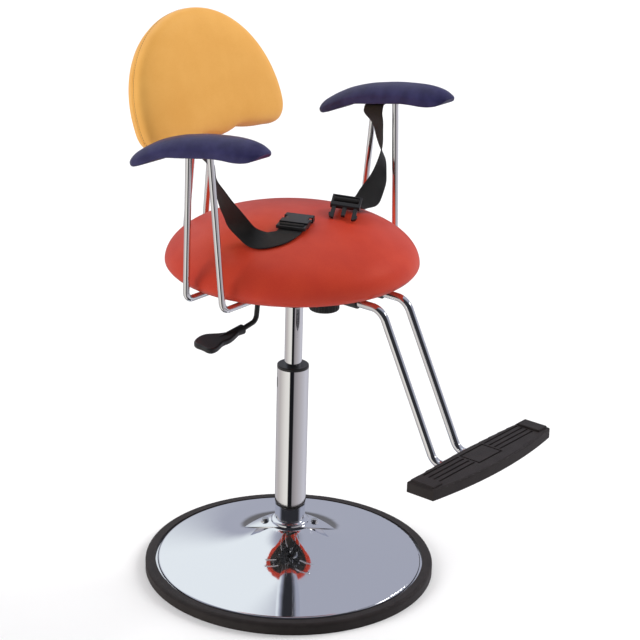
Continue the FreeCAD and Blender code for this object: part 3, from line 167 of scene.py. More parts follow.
glow = sky.node("Background", inputs={"Color": straight.blend(mirrored.blend(fill, seen), backdrop)})
sky.node("OutputWorld", inputs={"Surface": glow})

floor_reach = 30.0
floor = bpy.data.objects.new("floor", bpy.data.meshes.new("floor"))
floor.data.from_pydata([(-floor_reach, -floor_reach, 0), (floor_reach, -floor_reach, 0),
                        (floor_reach, floor_reach, 0), (-floor_reach, floor_reach, 0)], [], [(0, 1, 2, 3)])
floor.visible_glossy = False
bpy.context.scene.collection.objects.link(floor)


def material(name, paint):
    """A material whose surface shader is what paint returns."""
    made = bpy.data.materials.new(name)
    made.use_nodes = True
    made.node_tree.nodes.clear()
    start = Value(made.node_tree)
    start.node("OutputMaterial", inputs={"Surface": paint(start)})
    return made


def floor_paint(start):
    return start.node("BsdfPrincipled", inputs={"Base Color": (0.90, 0.90, 0.90, 1), "Roughness": 0.9,
                                                "Specular IOR Level": 0.0})


floor.data.materials.append(material("white_floor", floor_paint))

# Degrees from the camera's line, degrees above the horizon, strength, softness in degrees
lamps = {"left_light": (-72, 28, 1.55, 40), "right_light": (116, 30, 2.25, 36),
         "back_light": (178, 58, 0.65, 60)}
for name, (side, height, strength, softness) in lamps.items():
    lamp = bpy.data.objects.new(name, bpy.data.lights.new(name, "SUN"))
    lamp.data.energy = strength
    lamp.data.angle = math.radians(softness)
    lamp.visible_glossy = False
    around = math.radians(side)
    level = facing * math.cos(around) + sideways * math.sin(around)
    away = level * math.cos(math.radians(height)) + Vector((0, 0, math.sin(math.radians(height))))
    lamp.rotation_euler = away.to_track_quat("Z", "Y").to_euler()
    bpy.context.scene.collection.objects.link(lamp)


# The base is a spun steel dish, chromed, over a cast weight. A moulded rubber ring grips its
# rim and stands on the floor, and a rubber sheet lies under the weight.
def grained(start, size, detail=2.0):
    """Noise with grains of that size in metres."""
    where = start.node("TexCoord", out="Object")
    return start.node("TexNoise", inputs={"Vector": where, "Scale": 1 / size, "Detail": detail}, out=0)


def relief(start, height, depth):
    """Surface normal for a height from 0 to 1 that stands for that depth in metres."""
    return start.node("Bump", inputs={"Height": height, "Distance": depth, "Strength": 1.0}, out=0)


def surface(start, **values):
    """Principled shader: words of a name are joined with underscores."""
    return start.node("BsdfPrincipled",
                      inputs={name.replace("_", " "): value for name, value in values.items()})


def chrome_paint(start):
    plated = (0.86, 0.87, 0.90, 1)
    haze = grained(start, 0.06, 3.0)
    return surface(start, Base_Color=plated, Metallic=1.0, Roughness=haze * 0.05 + 0.025,
                   Normal=relief(start, grained(start, 0.03), 0.00003))


def rubber_paint(start):
    clean, dusty = (0.013, 0.0098, 0.0095, 1), (0.028, 0.022, 0.021, 1)
    speck = grained(start, 0.0012)
    shade = grained(start, 0.02).blend(clean, dusty)
    return surface(start, Base_Color=shade, Roughness=speck * 0.15 + 0.5, Normal=relief(start, speck, 0.0003),
                   Specular_IOR_Level=0.35)


def iron_paint(start):
    pit, crest = (0.03, 0.03, 0.032, 1), (0.10, 0.10, 0.105, 1)
    speck = grained(start, 0.002, 4.0)
    shade = speck.blend(pit, crest)
    return surface(start, Base_Color=shade, Metallic=0.4, Roughness=speck * 0.2 + 0.55,
                   Normal=relief(start, speck, 0.0006))


def dress(finish, *names):
    """Gives CAD nodes a material."""
    for name in names:
        mesh = nodes[name].data
        mesh.materials.clear()
        mesh.materials.append(finish)


chrome = material("chrome", chrome_paint)
rubber = material("black_rubber", rubber_paint)
dress(chrome, "base_dish")
dress(rubber, "base_trim_ring", "base_underlay")
dress(material("cast_iron", iron_paint), "base_weight")


# The column is a steel tube in a chromed sleeve. It stands in a two-bolt flange with a
# collar, and a black plastic bush in its top guides the gas cylinder.
def zinc_paint(start):
    dull, bright = (0.42, 0.43, 0.45, 1), (0.62, 0.63, 0.65, 1)
    brushed = grained(start, 0.0015, 3.0)
    return surface(start, Base_Color=brushed.blend(dull, bright), Metallic=1.0,
                   Roughness=brushed * 0.15 + 0.25, Normal=relief(start, brushed, 0.00005))


def plastic_paint(start):
    clean, dusty = (0.008, 0.008, 0.009, 1), (0.018, 0.017, 0.018, 1)
    speck = grained(start, 0.0006)
    shade = grained(start, 0.015).blend(clean, dusty)
    return surface(start, Base_Color=shade, Roughness=speck * 0.12 + 0.33,
                   Normal=relief(start, speck, 0.00008))


zinc = material("bright_zinc", zinc_paint)
plastic = material("black_plastic", plastic_paint)
dress(chrome, "column_flange", "column_sleeve")
dress(zinc, "flange_bolts", "stand_tube", "bearing_lower_race", "bearing_upper_race", "bearing_balls")
dress(plastic, "groove_ring", "column_bush")


# The gas lift: a chromed cylinder that slides in the bush, over a piston rod that stands on
# the thrust bearing in the tube.
dress(chrome, "gas_cylinder")
dress(zinc, "piston_rod", "retaining_clip", "release_pin")


# Pressed steel plates under the seat, powder-coated black: the hub with the lever's channel,
# the footrest's guide, and the feet of the armrests and the backrest.
def painted_paint(start):
    clean, dusty = (0.011, 0.011, 0.012, 1), (0.022, 0.021, 0.022, 1)
    peel = grained(start, 0.0025)
    shade = grained(start, 0.03).blend(clean, dusty)
    return surface(start, Base_Color=shade, Roughness=peel * 0.12 + 0.3, Normal=relief(start, peel, 0.00012))


painted = material("black_paint", painted_paint)
dress(painted, "seat_carrier", "footrest_guide", "arm_plates", "arm_strip_right", "arm_strip_left",
      "back_cross_plate", "back_foot_plate", "lever_rod", "footplate_core")
dress(zinc, "lever_pivot", "clamp_bar", "knob_stud", "seat_screws", "armrest_screws", "back_screws",
      "strap_screws", "footplate_screws")


# The lift lever is a bent steel rod with a moulded paddle, and the clamp knob is ribbed.
dress(plastic, "lever_grip", "clamp_knob")


# The footrest: two bent chromed rods with plastic caps, and a steel core in a rubber cover.
dress(chrome, "footrest_rod_right", "footrest_rod_left")
dress(plastic, "footrest_end_caps")
dress(rubber, "footplate_cover")


# Armrests stand on bent chromed posts, and the backrest on two bent chromed bars.
dress(chrome, "arm_post_right_front", "arm_post_right_rear", "arm_post_left_front", "arm_post_left_rear",
      "back_bar_right", "back_bar_left")


# The seat is foam under orange vinyl, pulled over the rim of a round plywood board, gathered
# in small pleats there and stapled to its underside.
def skin(name, rings):
    """Piece through rings of equally many points in millimetres; a ring of one point ends it."""
    starts = np.cumsum([0] + [len(ring) for ring in rings])
    faces = []
    for index, (ring, after) in enumerate(zip(rings, rings[1:])):
        first, second = starts[index], starts[index + 1]
        for i in range(max(len(ring), len(after))):
            j = (i + 1) % max(len(ring), len(after))
            if len(ring) == 1:
                faces.append((first, second + j, second + i))
            elif len(after) == 1:
                faces.append((first + i, first + j, second))
            else:
                faces.append((first + i, first + j, second + j, second + i))
    points = np.vstack([np.array(ring, float) for ring in rings]) / 1000
    mesh = bpy.data.meshes.new(name)
    mesh.from_pydata(points.tolist(), [], [tuple(int(i) for i in face) for face in faces])
    shell = bmesh.new()
    shell.from_mesh(mesh)
    bmesh.ops.recalc_face_normals(shell, faces=shell.faces)
    shell.to_mesh(mesh)
    shell.free()
    mesh.shade_smooth()
    piece = bpy.data.objects.new(name, mesh)
    bpy.context.scene.collection.objects.link(piece)
    return piece


def joined(name, parts):
    """One piece of several (points in millimetres, faces)."""
    points, faces = [], []
    for part_points, part_faces in parts:
        faces += [tuple(i + len(points) for i in face) for face in part_faces]
        points += [tuple(value / 1000 for value in point) for point in part_points]
    mesh = bpy.data.meshes.new(name)
    mesh.from_pydata(points, [], faces)
    mesh.shade_smooth()
    piece = bpy.data.objects.new(name, mesh)
    bpy.context.scene.collection.objects.link(piece)
    return piece


def wire(path, radius, sides=6):
    """Points and faces of a round thread or wire along a path, with closed ends."""
    path = [Vector(point) for point in path]
    points, faces = [], []
    for index, point in enumerate(path):
        along = (path[min(index + 1, len(path) - 1)] - path[max(index - 1, 0)]).normalized()
        one = along.orthogonal().normalized() if index == 0 else (one - along * one.dot(along)).normalized()
        other = along.cross(one)
        for side in range(sides):
            turn = 2 * math.pi * side / sides
            points.append(point + (one * math.cos(turn) + other * math.sin(turn)) * radius)
        if index:
            low = (index - 1) * sides
            faces += [(low + i, low + (i + 1) % sides, low + sides + (i + 1) % sides, low + sides + i)
                      for i in range(sides)]
    faces.append(tuple(reversed(range(sides))))
    faces.append(tuple(range(len(points) - sides, len(points))))
    return [tuple(point) for point in points], faces


cloth_frames = 20
evening_passes = 25         # even out the drag lines in the swollen cover


def puffed(piece, loose, pressure, most):
    """Lets a cover swell and settle as cloth where it is loose, by no more than most metres."""
    mesh = piece.data
    count = len(mesh.vertices)
    rest = np.empty(count * 3)
    mesh.vertices.foreach_get("co", rest)
    rest = rest.reshape(-1, 3)
    freedom = np.array([loose(*point) for point in rest * 1000])
    held = piece.vertex_groups.new(name="held")
    for index in range(count):
        held.add([index], 1 - freedom[index], "REPLACE")
    cloth = piece.modifiers.new("cloth", "CLOTH")
    cloth.settings.quality = 6
    cloth.settings.mass = 0.4
    cloth.settings.tension_stiffness = 25
    cloth.settings.compression_stiffness = 25
    cloth.settings.bending_stiffness = 1.2
    cloth.settings.use_pressure = True
    cloth.settings.uniform_pressure_force = pressure
    cloth.settings.vertex_group_mass = "held"
    cloth.settings.effector_weights.gravity = 0
    cloth.point_cache.frame_end = cloth_frames
    for step in range(1, cloth_frames + 1):
        bpy.context.scene.frame_set(step)
    blown = piece.evaluated_get(bpy.context.evaluated_depsgraph_get()).to_mesh()
    ends = np.empty(count * 3)
    blown.vertices.foreach_get("co", ends)
    moves = (ends.reshape(-1, 3) - rest) * freedom[:, None]
    reach = np.linalg.norm(moves, axis=1, keepdims=True)
    moves *= most * np.tanh(reach / most) / np.maximum(reach, 1e-9)
    pairs = np.array([edge.vertices[:] for edge in mesh.edges])
    sides = np.bincount(pairs.ravel(), minlength=count)[:, None]
    for turn in range(evening_passes):
        near = np.zeros_like(moves)
        np.add.at(near, pairs[:, 0], moves[pairs[:, 1]])
        np.add.at(near, pairs[:, 1], moves[pairs[:, 0]])
        moves = (moves + near / sides) / 2
    moves *= freedom[:, None]
    piece.evaluated_get(bpy.context.evaluated_depsgraph_get()).to_mesh_clear()
    piece.modifiers.remove(cloth)
    piece.vertex_groups.remove(held)
    bpy.context.scene.frame_set(1)
    mesh.vertices.foreach_set("co", (rest + moves).ravel())
    mesh.update()
    return piece


def smooth(low, high, value):
    """0 at low, 1 at high, and smooth between them."""
    share = min(max((value - low) / (high - low), 0.0), 1.0)
    return share * share * (3 - 2 * share)


def vinyl_paint(light, dark, seed):
    """Soft upholstery vinyl: fine pebbled grain, faint mottling and a satin shine."""
    def paint(start):
        where = start.node("TexCoord", out="Object")
        pebble = start.node("TexVoronoi", {"feature": "SMOOTH_F1"},
                            {"Vector": where, "Scale": 1100.0, "Smoothness": 0.6}, out=0)
        mottle = start.node("TexNoise", {"noise_dimensions": "4D"},
                            {"Vector": where, "W": seed, "Scale": 22.0, "Detail": 4.0}, out=0)
        fine = grained(start, 0.0011)
        height = pebble * 0.7 + fine * 0.3
        shade = (mottle * 0.75 + pebble * 0.35).step(0.2, 0.85).blend(light, dark)
        return surface(start, Base_Color=shade, Roughness=mottle * 0.10 + fine * 0.05 + 0.33,
                       Normal=relief(start, height, 0.00012), Specular_IOR_Level=0.27)
    return paint


seat_radius = 199
seat_middle = 6.0           # behind the column's axis
seat_widest = 530           # height of the widest line, where the dome begins
dome_height = 77
dome_power = 2.3
dome_rings = 27
rim_rings = 10
rim_middle, rim_bend = (176.1, 541.73), 25.73       # centre and radius of the rim's bend
rim_start, rim_sweep = 27.1, 62.9                   # degrees below its widest line
board_side = 524            # the pleats end below this height
round_points = 144
pleats = 44
pleat_depth = 0.8
foam_pressure = 0.6
seat_swell = 0.002
turned_in = ((173.0, 516.0), (170.2, 516.05), (168.6, 516.5), (167.2, 517.2), (164.5, 517.4),
             (161.0, 517.4), (158.2, 517.5), (158.0, 518.0), (158.3, 518.4), (164.0, 518.45),
             (168.2, 518.5), (168.3, 524.0), (168.3, 530.4), (167.5, 530.7), (120.0, 530.7),
             (60.0, 530.7), (0.0, 530.7))
seat_profile = [(0.0, seat_widest + dome_height)]
for step in range(1, dome_rings):
    angle = math.pi / 2 * (1 - step / dome_rings)
    seat_profile.append((seat_radius * math.cos(angle) ** (2 / dome_power),
                         seat_widest + dome_height * math.sin(angle)))
for step in range(rim_rings):
    angle = math.radians(-rim_start - rim_sweep * step / (rim_rings - 1))
    seat_profile.append((rim_middle[0] + rim_bend * math.cos(angle),
                         rim_middle[1] + rim_bend * math.sin(angle)))
seat_profile += turned_in
seat_rings = []
for radius, height in seat_profile:
    if radius == 0:
        seat_rings.append([(0, seat_middle, height)])
        continue
    gather = smooth(192, 176, radius) * smooth(155, 160, radius) if height < board_side else 0.0
    ring = []
    for step in range(round_points):
        turn = 2 * math.pi * step / round_points
        fold = 0.5 + 0.5 * math.sin(turn * pleats + 1.3 * math.sin(turn * 7)) * math.cos(turn * 5 + 0.6)
        ring.append((radius * math.cos(turn), seat_middle + radius * math.sin(turn),
                     height + pleat_depth * gather * fold))
    seat_rings.append(ring)
seat_cover = skin("seat_cover", seat_rings)


def seat_loose(x, y, z):
    """How free the seat's cover is: held on its rim and under the board."""
    return smooth(531.5, 545, z)


puffed(seat_cover, seat_loose, foam_pressure, seat_swell)
seat_cover.modifiers.new("finer", "SUBSURF").render_levels = 1
orange = material("orange_vinyl", vinyl_paint((0.555, 0.052, 0.021, 1), (0.465, 0.034, 0.016, 1), 1.0))
seat_cover.data.materials.append(orange)
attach(seat_cover, "seat")
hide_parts("seat_cushion")

staple_count = 72
staple_circle = 162.2       # radius of the ring of staples
staple_height = 517.0
staple_wire = 0.42          # radius of the wire
staple_shape = ((-5.0, 1.2), (-4.9, 0.3), (-4.4, 0.0), (0, -0.1), (4.4, 0.0), (4.9, 0.3), (5.0, 1.2))
# Steel plates that leave no room for a staple: ends in x, ends in y
steel_plates = ((-82, 82, -147, 87), (-119, -73, -53, 53), (73, 119, -53, 53), (-45, 45, 93, 157))
staples = []
for step in range(staple_count):
    turn = 2 * math.pi * (step + 0.5) / staple_count
    tilt = turn + math.pi / 2 + 0.25 * math.sin(step * 2.7)
    x, y = staple_circle * math.cos(turn), seat_middle + staple_circle * math.sin(turn)
    if any(low_x < x < high_x and low_y < y < high_y for low_x, high_x, low_y, high_y in steel_plates):
        continue
    over = Vector((math.cos(tilt), math.sin(tilt), 0))
    crown = Vector((x, y, staple_height))
    staples.append(wire([crown + over * reach + Vector((0, 0, lift)) for reach, lift in staple_shape],
                        staple_wire))
seat_staples = joined("seat_staples", staples)
seat_staples.data.materials.append(zinc)
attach(seat_staples, "seat")


half_veneer = 0.0007


def plywood_paint(start):
    """Near-black plywood: long grain on the faces, paler veneers on the edge."""
    where = start.node("TexCoord", out="Object")
    height = start.node("SeparateXYZ", inputs={0: where}, out="Z")
    stretched = start.node("Mapping", inputs={"Vector": where, "Scale": (4.0, 60.0, 200.0)})
    grain = start.node("TexNoise", inputs={"Vector": stretched, "Scale": 6.0, "Detail": 5.0}, out=0)
    layer = start.maths("PINGPONG", height, half_veneer) * (1 / half_veneer)
    veneer = grain.blend((0.012, 0.010, 0.009, 1), (0.040, 0.032, 0.026, 1))
    shade = (1 - layer.step(0.0, 0.35)).blend(veneer, (0.008, 0.007, 0.006, 1))
    return surface(start, Base_Color=shade, Roughness=grain * 0.2 + 0.45, Normal=relief(start, grain, 0.0001))


dress(material("near_black_plywood", plywood_paint), "seat_board")


# The backrest is foam on an arched board, covered in yellow vinyl: a front panel stitched to
# a band round the side, tucked in at the lower corners, with a flat panel on the back.
def arc(start, middle, end, count):
    """Points of the circle through three points of a plane, without its end."""
    (ax, ay), (bx, by), (cx, cy) = start, middle, end
    spread = 2 * (ax * (by - cy) + bx * (cy - ay) + cx * (ay - by))
    ux = ((ax**2 + ay**2) * (by - cy) + (bx**2 + by**2) * (cy - ay) + (cx**2 + cy**2) * (ay - by)) / spread
    uy = ((ax**2 + ay**2) * (cx - bx) + (bx**2 + by**2) * (ax - cx) + (cx**2 + cy**2) * (bx - ax)) / spread
    bend = math.hypot(ax - ux, ay - uy)
    first, through, last = (math.atan2(y - uy, x - ux) for x, y in (start, middle, end))
    way = 1 if (through - first) % (2 * math.pi) < (last - first) % (2 * math.pi) else -1
    swept = way * ((way * (last - first)) % (2 * math.pi))
    return [(ux + bend * math.cos(first + swept * i / count), uy + bend * math.sin(first + swept * i / count))
            for i in range(count)]


def round_line(points):
    """Length of a closed line, and the function that gives its points at distances round it."""
    steps = np.linalg.norm(np.diff(np.vstack([points, points[:1]]), axis=0), axis=1)
    run = np.concatenate([[0], np.cumsum(steps)])

    def points_at(places):
        places = np.asarray(places) % run[-1]
        return np.stack([np.interp(places, run, np.append(points[:, axis], points[0, axis]))
                         for axis in (0, 1)], 1)
    return run[-1], points_at


# The outline lies in the backrest's own plane: x across, s up its face, from the arch's centre
back_radius = 160.5
back_middle = 45            # s of the middle that the rings shrink to
arch_point = 113.49         # half way round each quarter of the arch
side_end = -15              # the straight sides end here
arc_points = 60
side_points = 8
outline_points = 400
softenings = 12             # passes that round the lower edge's corners, which vinyl can't follow
soft_reach = 20             # and fade out up to this s
outline_arcs = (((back_radius, 0), (arch_point, arch_point), (0, back_radius)),
                ((0, back_radius), (-arch_point, arch_point), (-back_radius, 0)),
                ((-back_radius, side_end), (-150.5, -37), (-113.5, -45.5)),
                ((-113.5, -45.5), (-77.75, -43), (-42, -35.5)), ((-42, -35.5), (0, -44.25), (42, -35.5)),
                ((42, -35.5), (77.75, -43), (113.5, -45.5)),
                ((113.5, -45.5), (150.5, -37), (back_radius, side_end)))
outline = []
for index, (start, middle, end) in enumerate(outline_arcs):
    outline += arc(start, middle, end, arc_points)
    after = outline_arcs[(index + 1) % len(outline_arcs)][0]
    if after != end:
        outline += [(end[0], end[1] + (after[1] - end[1]) * i / side_points) for i in range(side_points)]
length, points_at = round_line(np.array(outline))
outline = points_at(np.linspace(0, length, outline_points, endpoint=False))
for softening in range(softenings):
    softer = (np.roll(outline, 1, axis=0) + 2 * outline + np.roll(outline, -1, axis=0)) / 4
    share = np.clip((soft_reach - outline[:, 1:]) / soft_reach, 0, 1)
    outline = outline + (softer - outline) * share
back_length, outline_at = round_line(outline)

back_spot = (0, 179.5, 740.5)
back_tilt = 22
back_frame = Matrix.Translation(back_spot) @ Matrix.Rotation(math.radians(90 - back_tilt), 4, "X")


def back_place(x, s, n):
    """A point of the backrest, n out of its face, in the chair's frame."""
    return tuple(back_frame @ Vector((x, s, n)))


# Distance out of the face, and size of the ring there beside the outline
back_profile = ((-19.0, 0.0), (-19.0, 0.25), (-19.0, 0.5), (-19.0, 0.75), (-19.0, 0.90), (-19.0, 0.94),
                (-18.8, 0.954), (-18.2, 0.963), (-17.0, 0.969), (-15.0, 0.972), (-12.6, 0.975),
                (-11.0, 0.984), (-9.0, 0.994), (-6.8, 0.9995), (-5.0, 1.0), (-3.9, 0.9995),
                (-3.3, 0.9945), (-2.7, 0.9945), (-2.1, 0.9995), (-1.0, 1.001), (1.0, 1.002),
                (3.3, 1.001), (7.6, 0.997), (11.6, 0.986), (14.8, 0.964), (17.1, 0.932), (18.9, 0.888),
                (20.4, 0.831), (21.5, 0.757), (22.2, 0.666), (22.7, 0.557), (22.9, 0.427), (23.0, 0.28),
                (23.0, 0.14), (23.0, 0.0))
ring_points = 200
face_start = 3              # rings further out than this lie on the crowned face
rounding = 700
back_swell = 0.0025
around = outline_at(np.linspace(0, back_length, ring_points, endpoint=False))


def outline_inside(depth):
    """The outline about its middle, rounder the deeper it lies inside the crowned face."""
    rounder = around - (0, back_middle)
    size = np.linalg.norm(rounder, axis=1).mean()
    for turn in range(int(max(depth, 0.0) * rounding)):
        rounder = (np.roll(rounder, 1, axis=0) + 2 * rounder + np.roll(rounder, -1, axis=0)) / 4
    return rounder * size / np.linalg.norm(rounder, axis=1).mean()


back_rings = []
for n, scale in back_profile:
    flat = outline_inside(0.99 - scale if n > face_start else 0.0) * scale + (0, back_middle)
    back_rings.append([back_place(x, s, n) for x, s in (flat[:1] if scale == 0 else flat)])
backrest_cover = skin("backrest_cover", back_rings)


def back_loose(x, y, z):
    """How free the backrest's cover is: held at its seam, band and back panel."""
    return smooth(4, 16, (back_frame.inverted() @ Vector((x, y, z))).z)


puffed(backrest_cover, back_loose, foam_pressure, back_swell)
backrest_cover.modifiers.new("finer", "SUBSURF").render_levels = 1
yellow = material("yellow_vinyl", vinyl_paint((0.86, 0.46, 0.115, 1), (0.78, 0.38, 0.080, 1), 4.0))
backrest_cover.data.materials.append(yellow)
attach(backrest_cover, "seat")
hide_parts("backrest_pad", "back_board")

stitch_pitch = 4.4
stitch_height = -0.2
thread_radius = 0.5
stitch_shape = ((-1.5, 0.985), (-1.2, 0.9985), (0, 1.0025), (1.2, 0.9985), (1.5, 0.985))
stitches = []
stitch_count = int(back_length / stitch_pitch)
for index in range(stitch_count):
    middle = back_length * index / stitch_count
    seam = outline_at([middle + reach for reach, lift in stitch_shape])
    path = [back_place(x * lift, back_middle + (s - back_middle) * lift, stitch_height)
            for (x, s), (reach, lift) in zip(seam, stitch_shape)]
    stitches.append(wire(path, thread_radius))
seam_stitches = joined("seam_stitches", stitches)


def thread_paint(start):
    twist = grained(start, 0.0004)
    return surface(start, Base_Color=twist.blend((0.10, 0.045, 0.02, 1), (0.035, 0.016, 0.010, 1)),
                   Roughness=twist * 0.2 + 0.6, Normal=relief(start, twist, 0.0001))


seam_stitches.data.materials.append(material("thread", thread_paint))
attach(seam_stitches, "seat")

tuck_start = (158.5, -23.5, -4.5)       # of the outer tuck, in the backrest's frame
tuck_run = (-9.5, -9.0, 13)
tuck_curl = 0.00045
tucks = []
for side in (-1, 1):
    for offset, radius in ((0.0, 1.0), (2.6, 0.8)):
        path = []
        for share in np.linspace(0, 1, 9):
            n = tuck_start[2] + tuck_run[2] * share
            inward = 1.0 if n < face_start else 1.0 - tuck_curl * (n - face_start) ** 2
            x = (tuck_start[0] - offset * 0.5 + tuck_run[0] * share) * inward
            s = tuck_start[1] - offset + tuck_run[1] * share
            path.append(back_place(side * x, back_middle + (s - back_middle) * inward, n))
        tucks.append(wire(path, radius, 10))
corner_tucks = joined("corner_tucks", tucks)
corner_tucks.data.materials.append(yellow)
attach(corner_tucks, "seat")


# The armrests are moulded polyurethane foam with its own tough navy skin, over a steel strip
# that takes the posts' screws.
def natural(places, values, at):
    """Natural cubic spline through values at places, read at other places."""
    places, values, at = (np.asarray(item, float) for item in (places, values, at))
    gaps = np.diff(places)
    slopes = np.diff(values, axis=0) / (gaps[:, None] if values.ndim > 1 else gaps)
    count = len(places)
    matrix = np.eye(count)
    right_side = np.zeros(values.shape)
    for i in range(1, count - 1):
        matrix[i, i - 1:i + 2] = gaps[i - 1], 2 * (gaps[i - 1] + gaps[i]), gaps[i]
        right_side[i] = 6 * (slopes[i] - slopes[i - 1])
    bends = np.linalg.solve(matrix, right_side)
    index = np.clip(np.searchsorted(places, at) - 1, 0, count - 2)
    gap = gaps[index]
    below = (places[index + 1] - at) / gap
    above = (at - places[index]) / gap
    if values.ndim > 1:
        gap, below, above = gap[:, None], below[:, None], above[:, None]
    return (below * values[index] + above * values[index + 1]
            + ((below**3 - below) * bends[index] + (above**3 - above) * bends[index + 1]) * gap**2 / 6)


arm_across = 221.5          # middle of an armrest from the chair's middle
arm_height = 744
arm_front, arm_rear = 126, 131          # the armrest's reach from its middle
arm_half_width = 29
arm_thickness = 32
arm_tilt = math.radians(10.1)
arm_rings = 49
strip_lift = 0.35           # the underside is hollow by this much for the steel strip
nose_rings = ((1.0040, 0.72), (1.0075, 0.40))       # reach and size of the rings that round an end
nose_reach = 0.009
# Share of the reach, of the half width, and of the thickness at the underside and at the top
arm_stages = ((-1.000, 0.42, -0.344, -0.125), (-0.954, 0.68, -0.444, 0.056), (-0.879, 0.86, -0.456, 0.225),
              (-0.778, 0.95, -0.390, 0.400), (-0.653, 0.99, -0.260, 0.580), (-0.508, 1.00, -0.100, 0.747),
              (-0.347, 1.00, 0.000, 0.863), (-0.176, 1.00, 0.000, 0.944), (0.000, 1.00, 0.000, 0.970),
              (0.176, 1.00, 0.000, 0.980), (0.347, 1.00, -0.005, 0.950), (0.508, 1.00, -0.047, 0.900),
              (0.653, 0.99, -0.134, 0.830), (0.778, 0.95, -0.175, 0.725), (0.879, 0.86, -0.156, 0.588),
              (0.954, 0.68, -0.063, 0.406), (1.000, 0.42, 0.078, 0.234))
stages = np.array(arm_stages)


def arm_place(side, x, along, lift):
    """A point of an armrest in its own tilted frame, in the chair's frame."""
    return (side * arm_across + x, -along * math.cos(arm_tilt) + lift * math.sin(arm_tilt),
            arm_height + along * math.sin(arm_tilt) + lift * math.cos(arm_tilt))


def foam_paint(start):
    where = start.node("TexCoord", out="Object")
    pore = start.node("TexVoronoi", inputs={"Vector": where, "Scale": 900.0}, out=0)
    mottle = grained(start, 0.02, 4.0)
    deep, worn = (0.022, 0.020, 0.068, 1), (0.036, 0.033, 0.102, 1)
    shade = mottle.step(0.25, 0.75).blend(deep, worn)
    return surface(start, Base_Color=shade, Roughness=mottle * 0.12 + 0.28,
                   Normal=relief(start, pore, 0.00018), Specular_IOR_Level=0.2)


def arm_section(half, low, middle, high):
    """Round the armrest: flat underside, rounded corners, short sides and an arched top."""
    bend = min(3.2, (middle - low) * 0.7)
    bends = [(bend * (1 - math.sin(turn)), bend * (1 - math.cos(turn))) for turn in np.linspace(0.2, 1.37, 4)]
    under = [(x, low) for x in np.linspace(half - bend, bend - half, 9)]
    near = [(-half + inward, low + lift) for inward, lift in bends]
    sides = [(-half, low + bend), (-half, (low + bend + middle) / 2)]
    over = arc((-half, middle), (0, high), (half, middle), 18) + [(half, middle)]
    return under + near + sides + over + [(-x, lift) for x, lift in sides[::-1] + near[::-1]]


navy = material("navy_foam", foam_paint)
shares = np.unique(np.concatenate([np.linspace(-1, 1, arm_rings), stages[:, 0]]))
rows = natural(stages[:, 0], stages[:, 1:], shares)
for side, word in ((-1, "right"), (1, "left")):
    rings = []
    for share, (width, low, high) in zip(shares, rows):
        along = share * (arm_front if share > 0 else arm_rear)
        low, high, half = low * arm_thickness, high * arm_thickness, width * arm_half_width
        middle = low + (high - low) * 0.4
        low += strip_lift * smooth(56, 50, abs(along))
        rings.append([arm_place(side, x, along, lift) for x, lift in arm_section(half, low, middle, high)])
    for end in (0, -1):
        base = np.array(rings[end])
        centre = base.mean(axis=0)
        out = (np.array(arm_place(side, 0, arm_rear if end else -arm_rear, 0))
               - np.array(arm_place(side, 0, 0, 0)))
        nose = [(centre + (base - centre) * scale + out * (reach - 1)).tolist()
                for reach, scale in nose_rings]
        nose.append([tuple(centre + out * nose_reach)])
        rings = rings + nose if end else nose[::-1] + rings
    armrest = skin("armrest_skin_" + word, rings)
    armrest.modifiers.new("finer", "SUBSURF").render_levels = 1
    armrest.data.materials.append(navy)
    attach(armrest, "seat")
    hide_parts("armrest_" + word)


# The lap belt is woven nylon webbing, screwed up under each armrest and threaded through the
# ladder of its buckle half. Both halves are moulded nylon.
web_width = 38
web_half = web_width / 2
web_thickness = 1.7
web_step = 2.5              # between the webbing's rings
arm_gap = 0.3               # between an armrest and the webbing under it
ladder_pitch = 5.0
ladder_path = ((1.68, -3.65), (3.9, -2.92), (4.9, 0), (5.9, 2.92), (8.6, 3.65), (11.3, 2.92),
               (12.3, 0), (12.3, -2.19))
seat_top = seat_widest + dome_height


def belt_place(across, fore, up):
    """A place in shares of the armrest's distance, the seat's radius and the armrest's rise."""
    return Vector((across * arm_across, fore * seat_radius, seat_top + up * (arm_height - seat_top)))


def under_arm(across, fore, drop):
    """A place under an armrest, that many thicknesses of webbing down."""
    y = fore * seat_radius
    below = web_thickness * (0.5 + drop) + arm_gap
    return Vector((across * arm_across, y,
                   arm_height - y * math.tan(arm_tilt) - below / math.cos(arm_tilt)))


def frame_of(x, y, z, yaw, pitch, roll):
    """Placement of a buckle half: its strap end, and its turns in degrees."""
    return (Matrix.Translation((x, y, z)) @ Matrix.Rotation(math.radians(yaw), 4, "Z")
            @ Matrix.Rotation(math.radians(pitch), 4, "Y") @ Matrix.Rotation(math.radians(roll), 4, "X"))


def threaded(place, side, approach):
    """Edges of the webbing through a ladder: under its end bar, over the next one and down."""
    path = [(x * ladder_pitch, z * ladder_pitch) for x, z in approach] + list(ladder_path)
    return [(place @ Vector((x, side * web_half, z)), place @ Vector((x, -side * web_half, z)))
            for x, z in path]


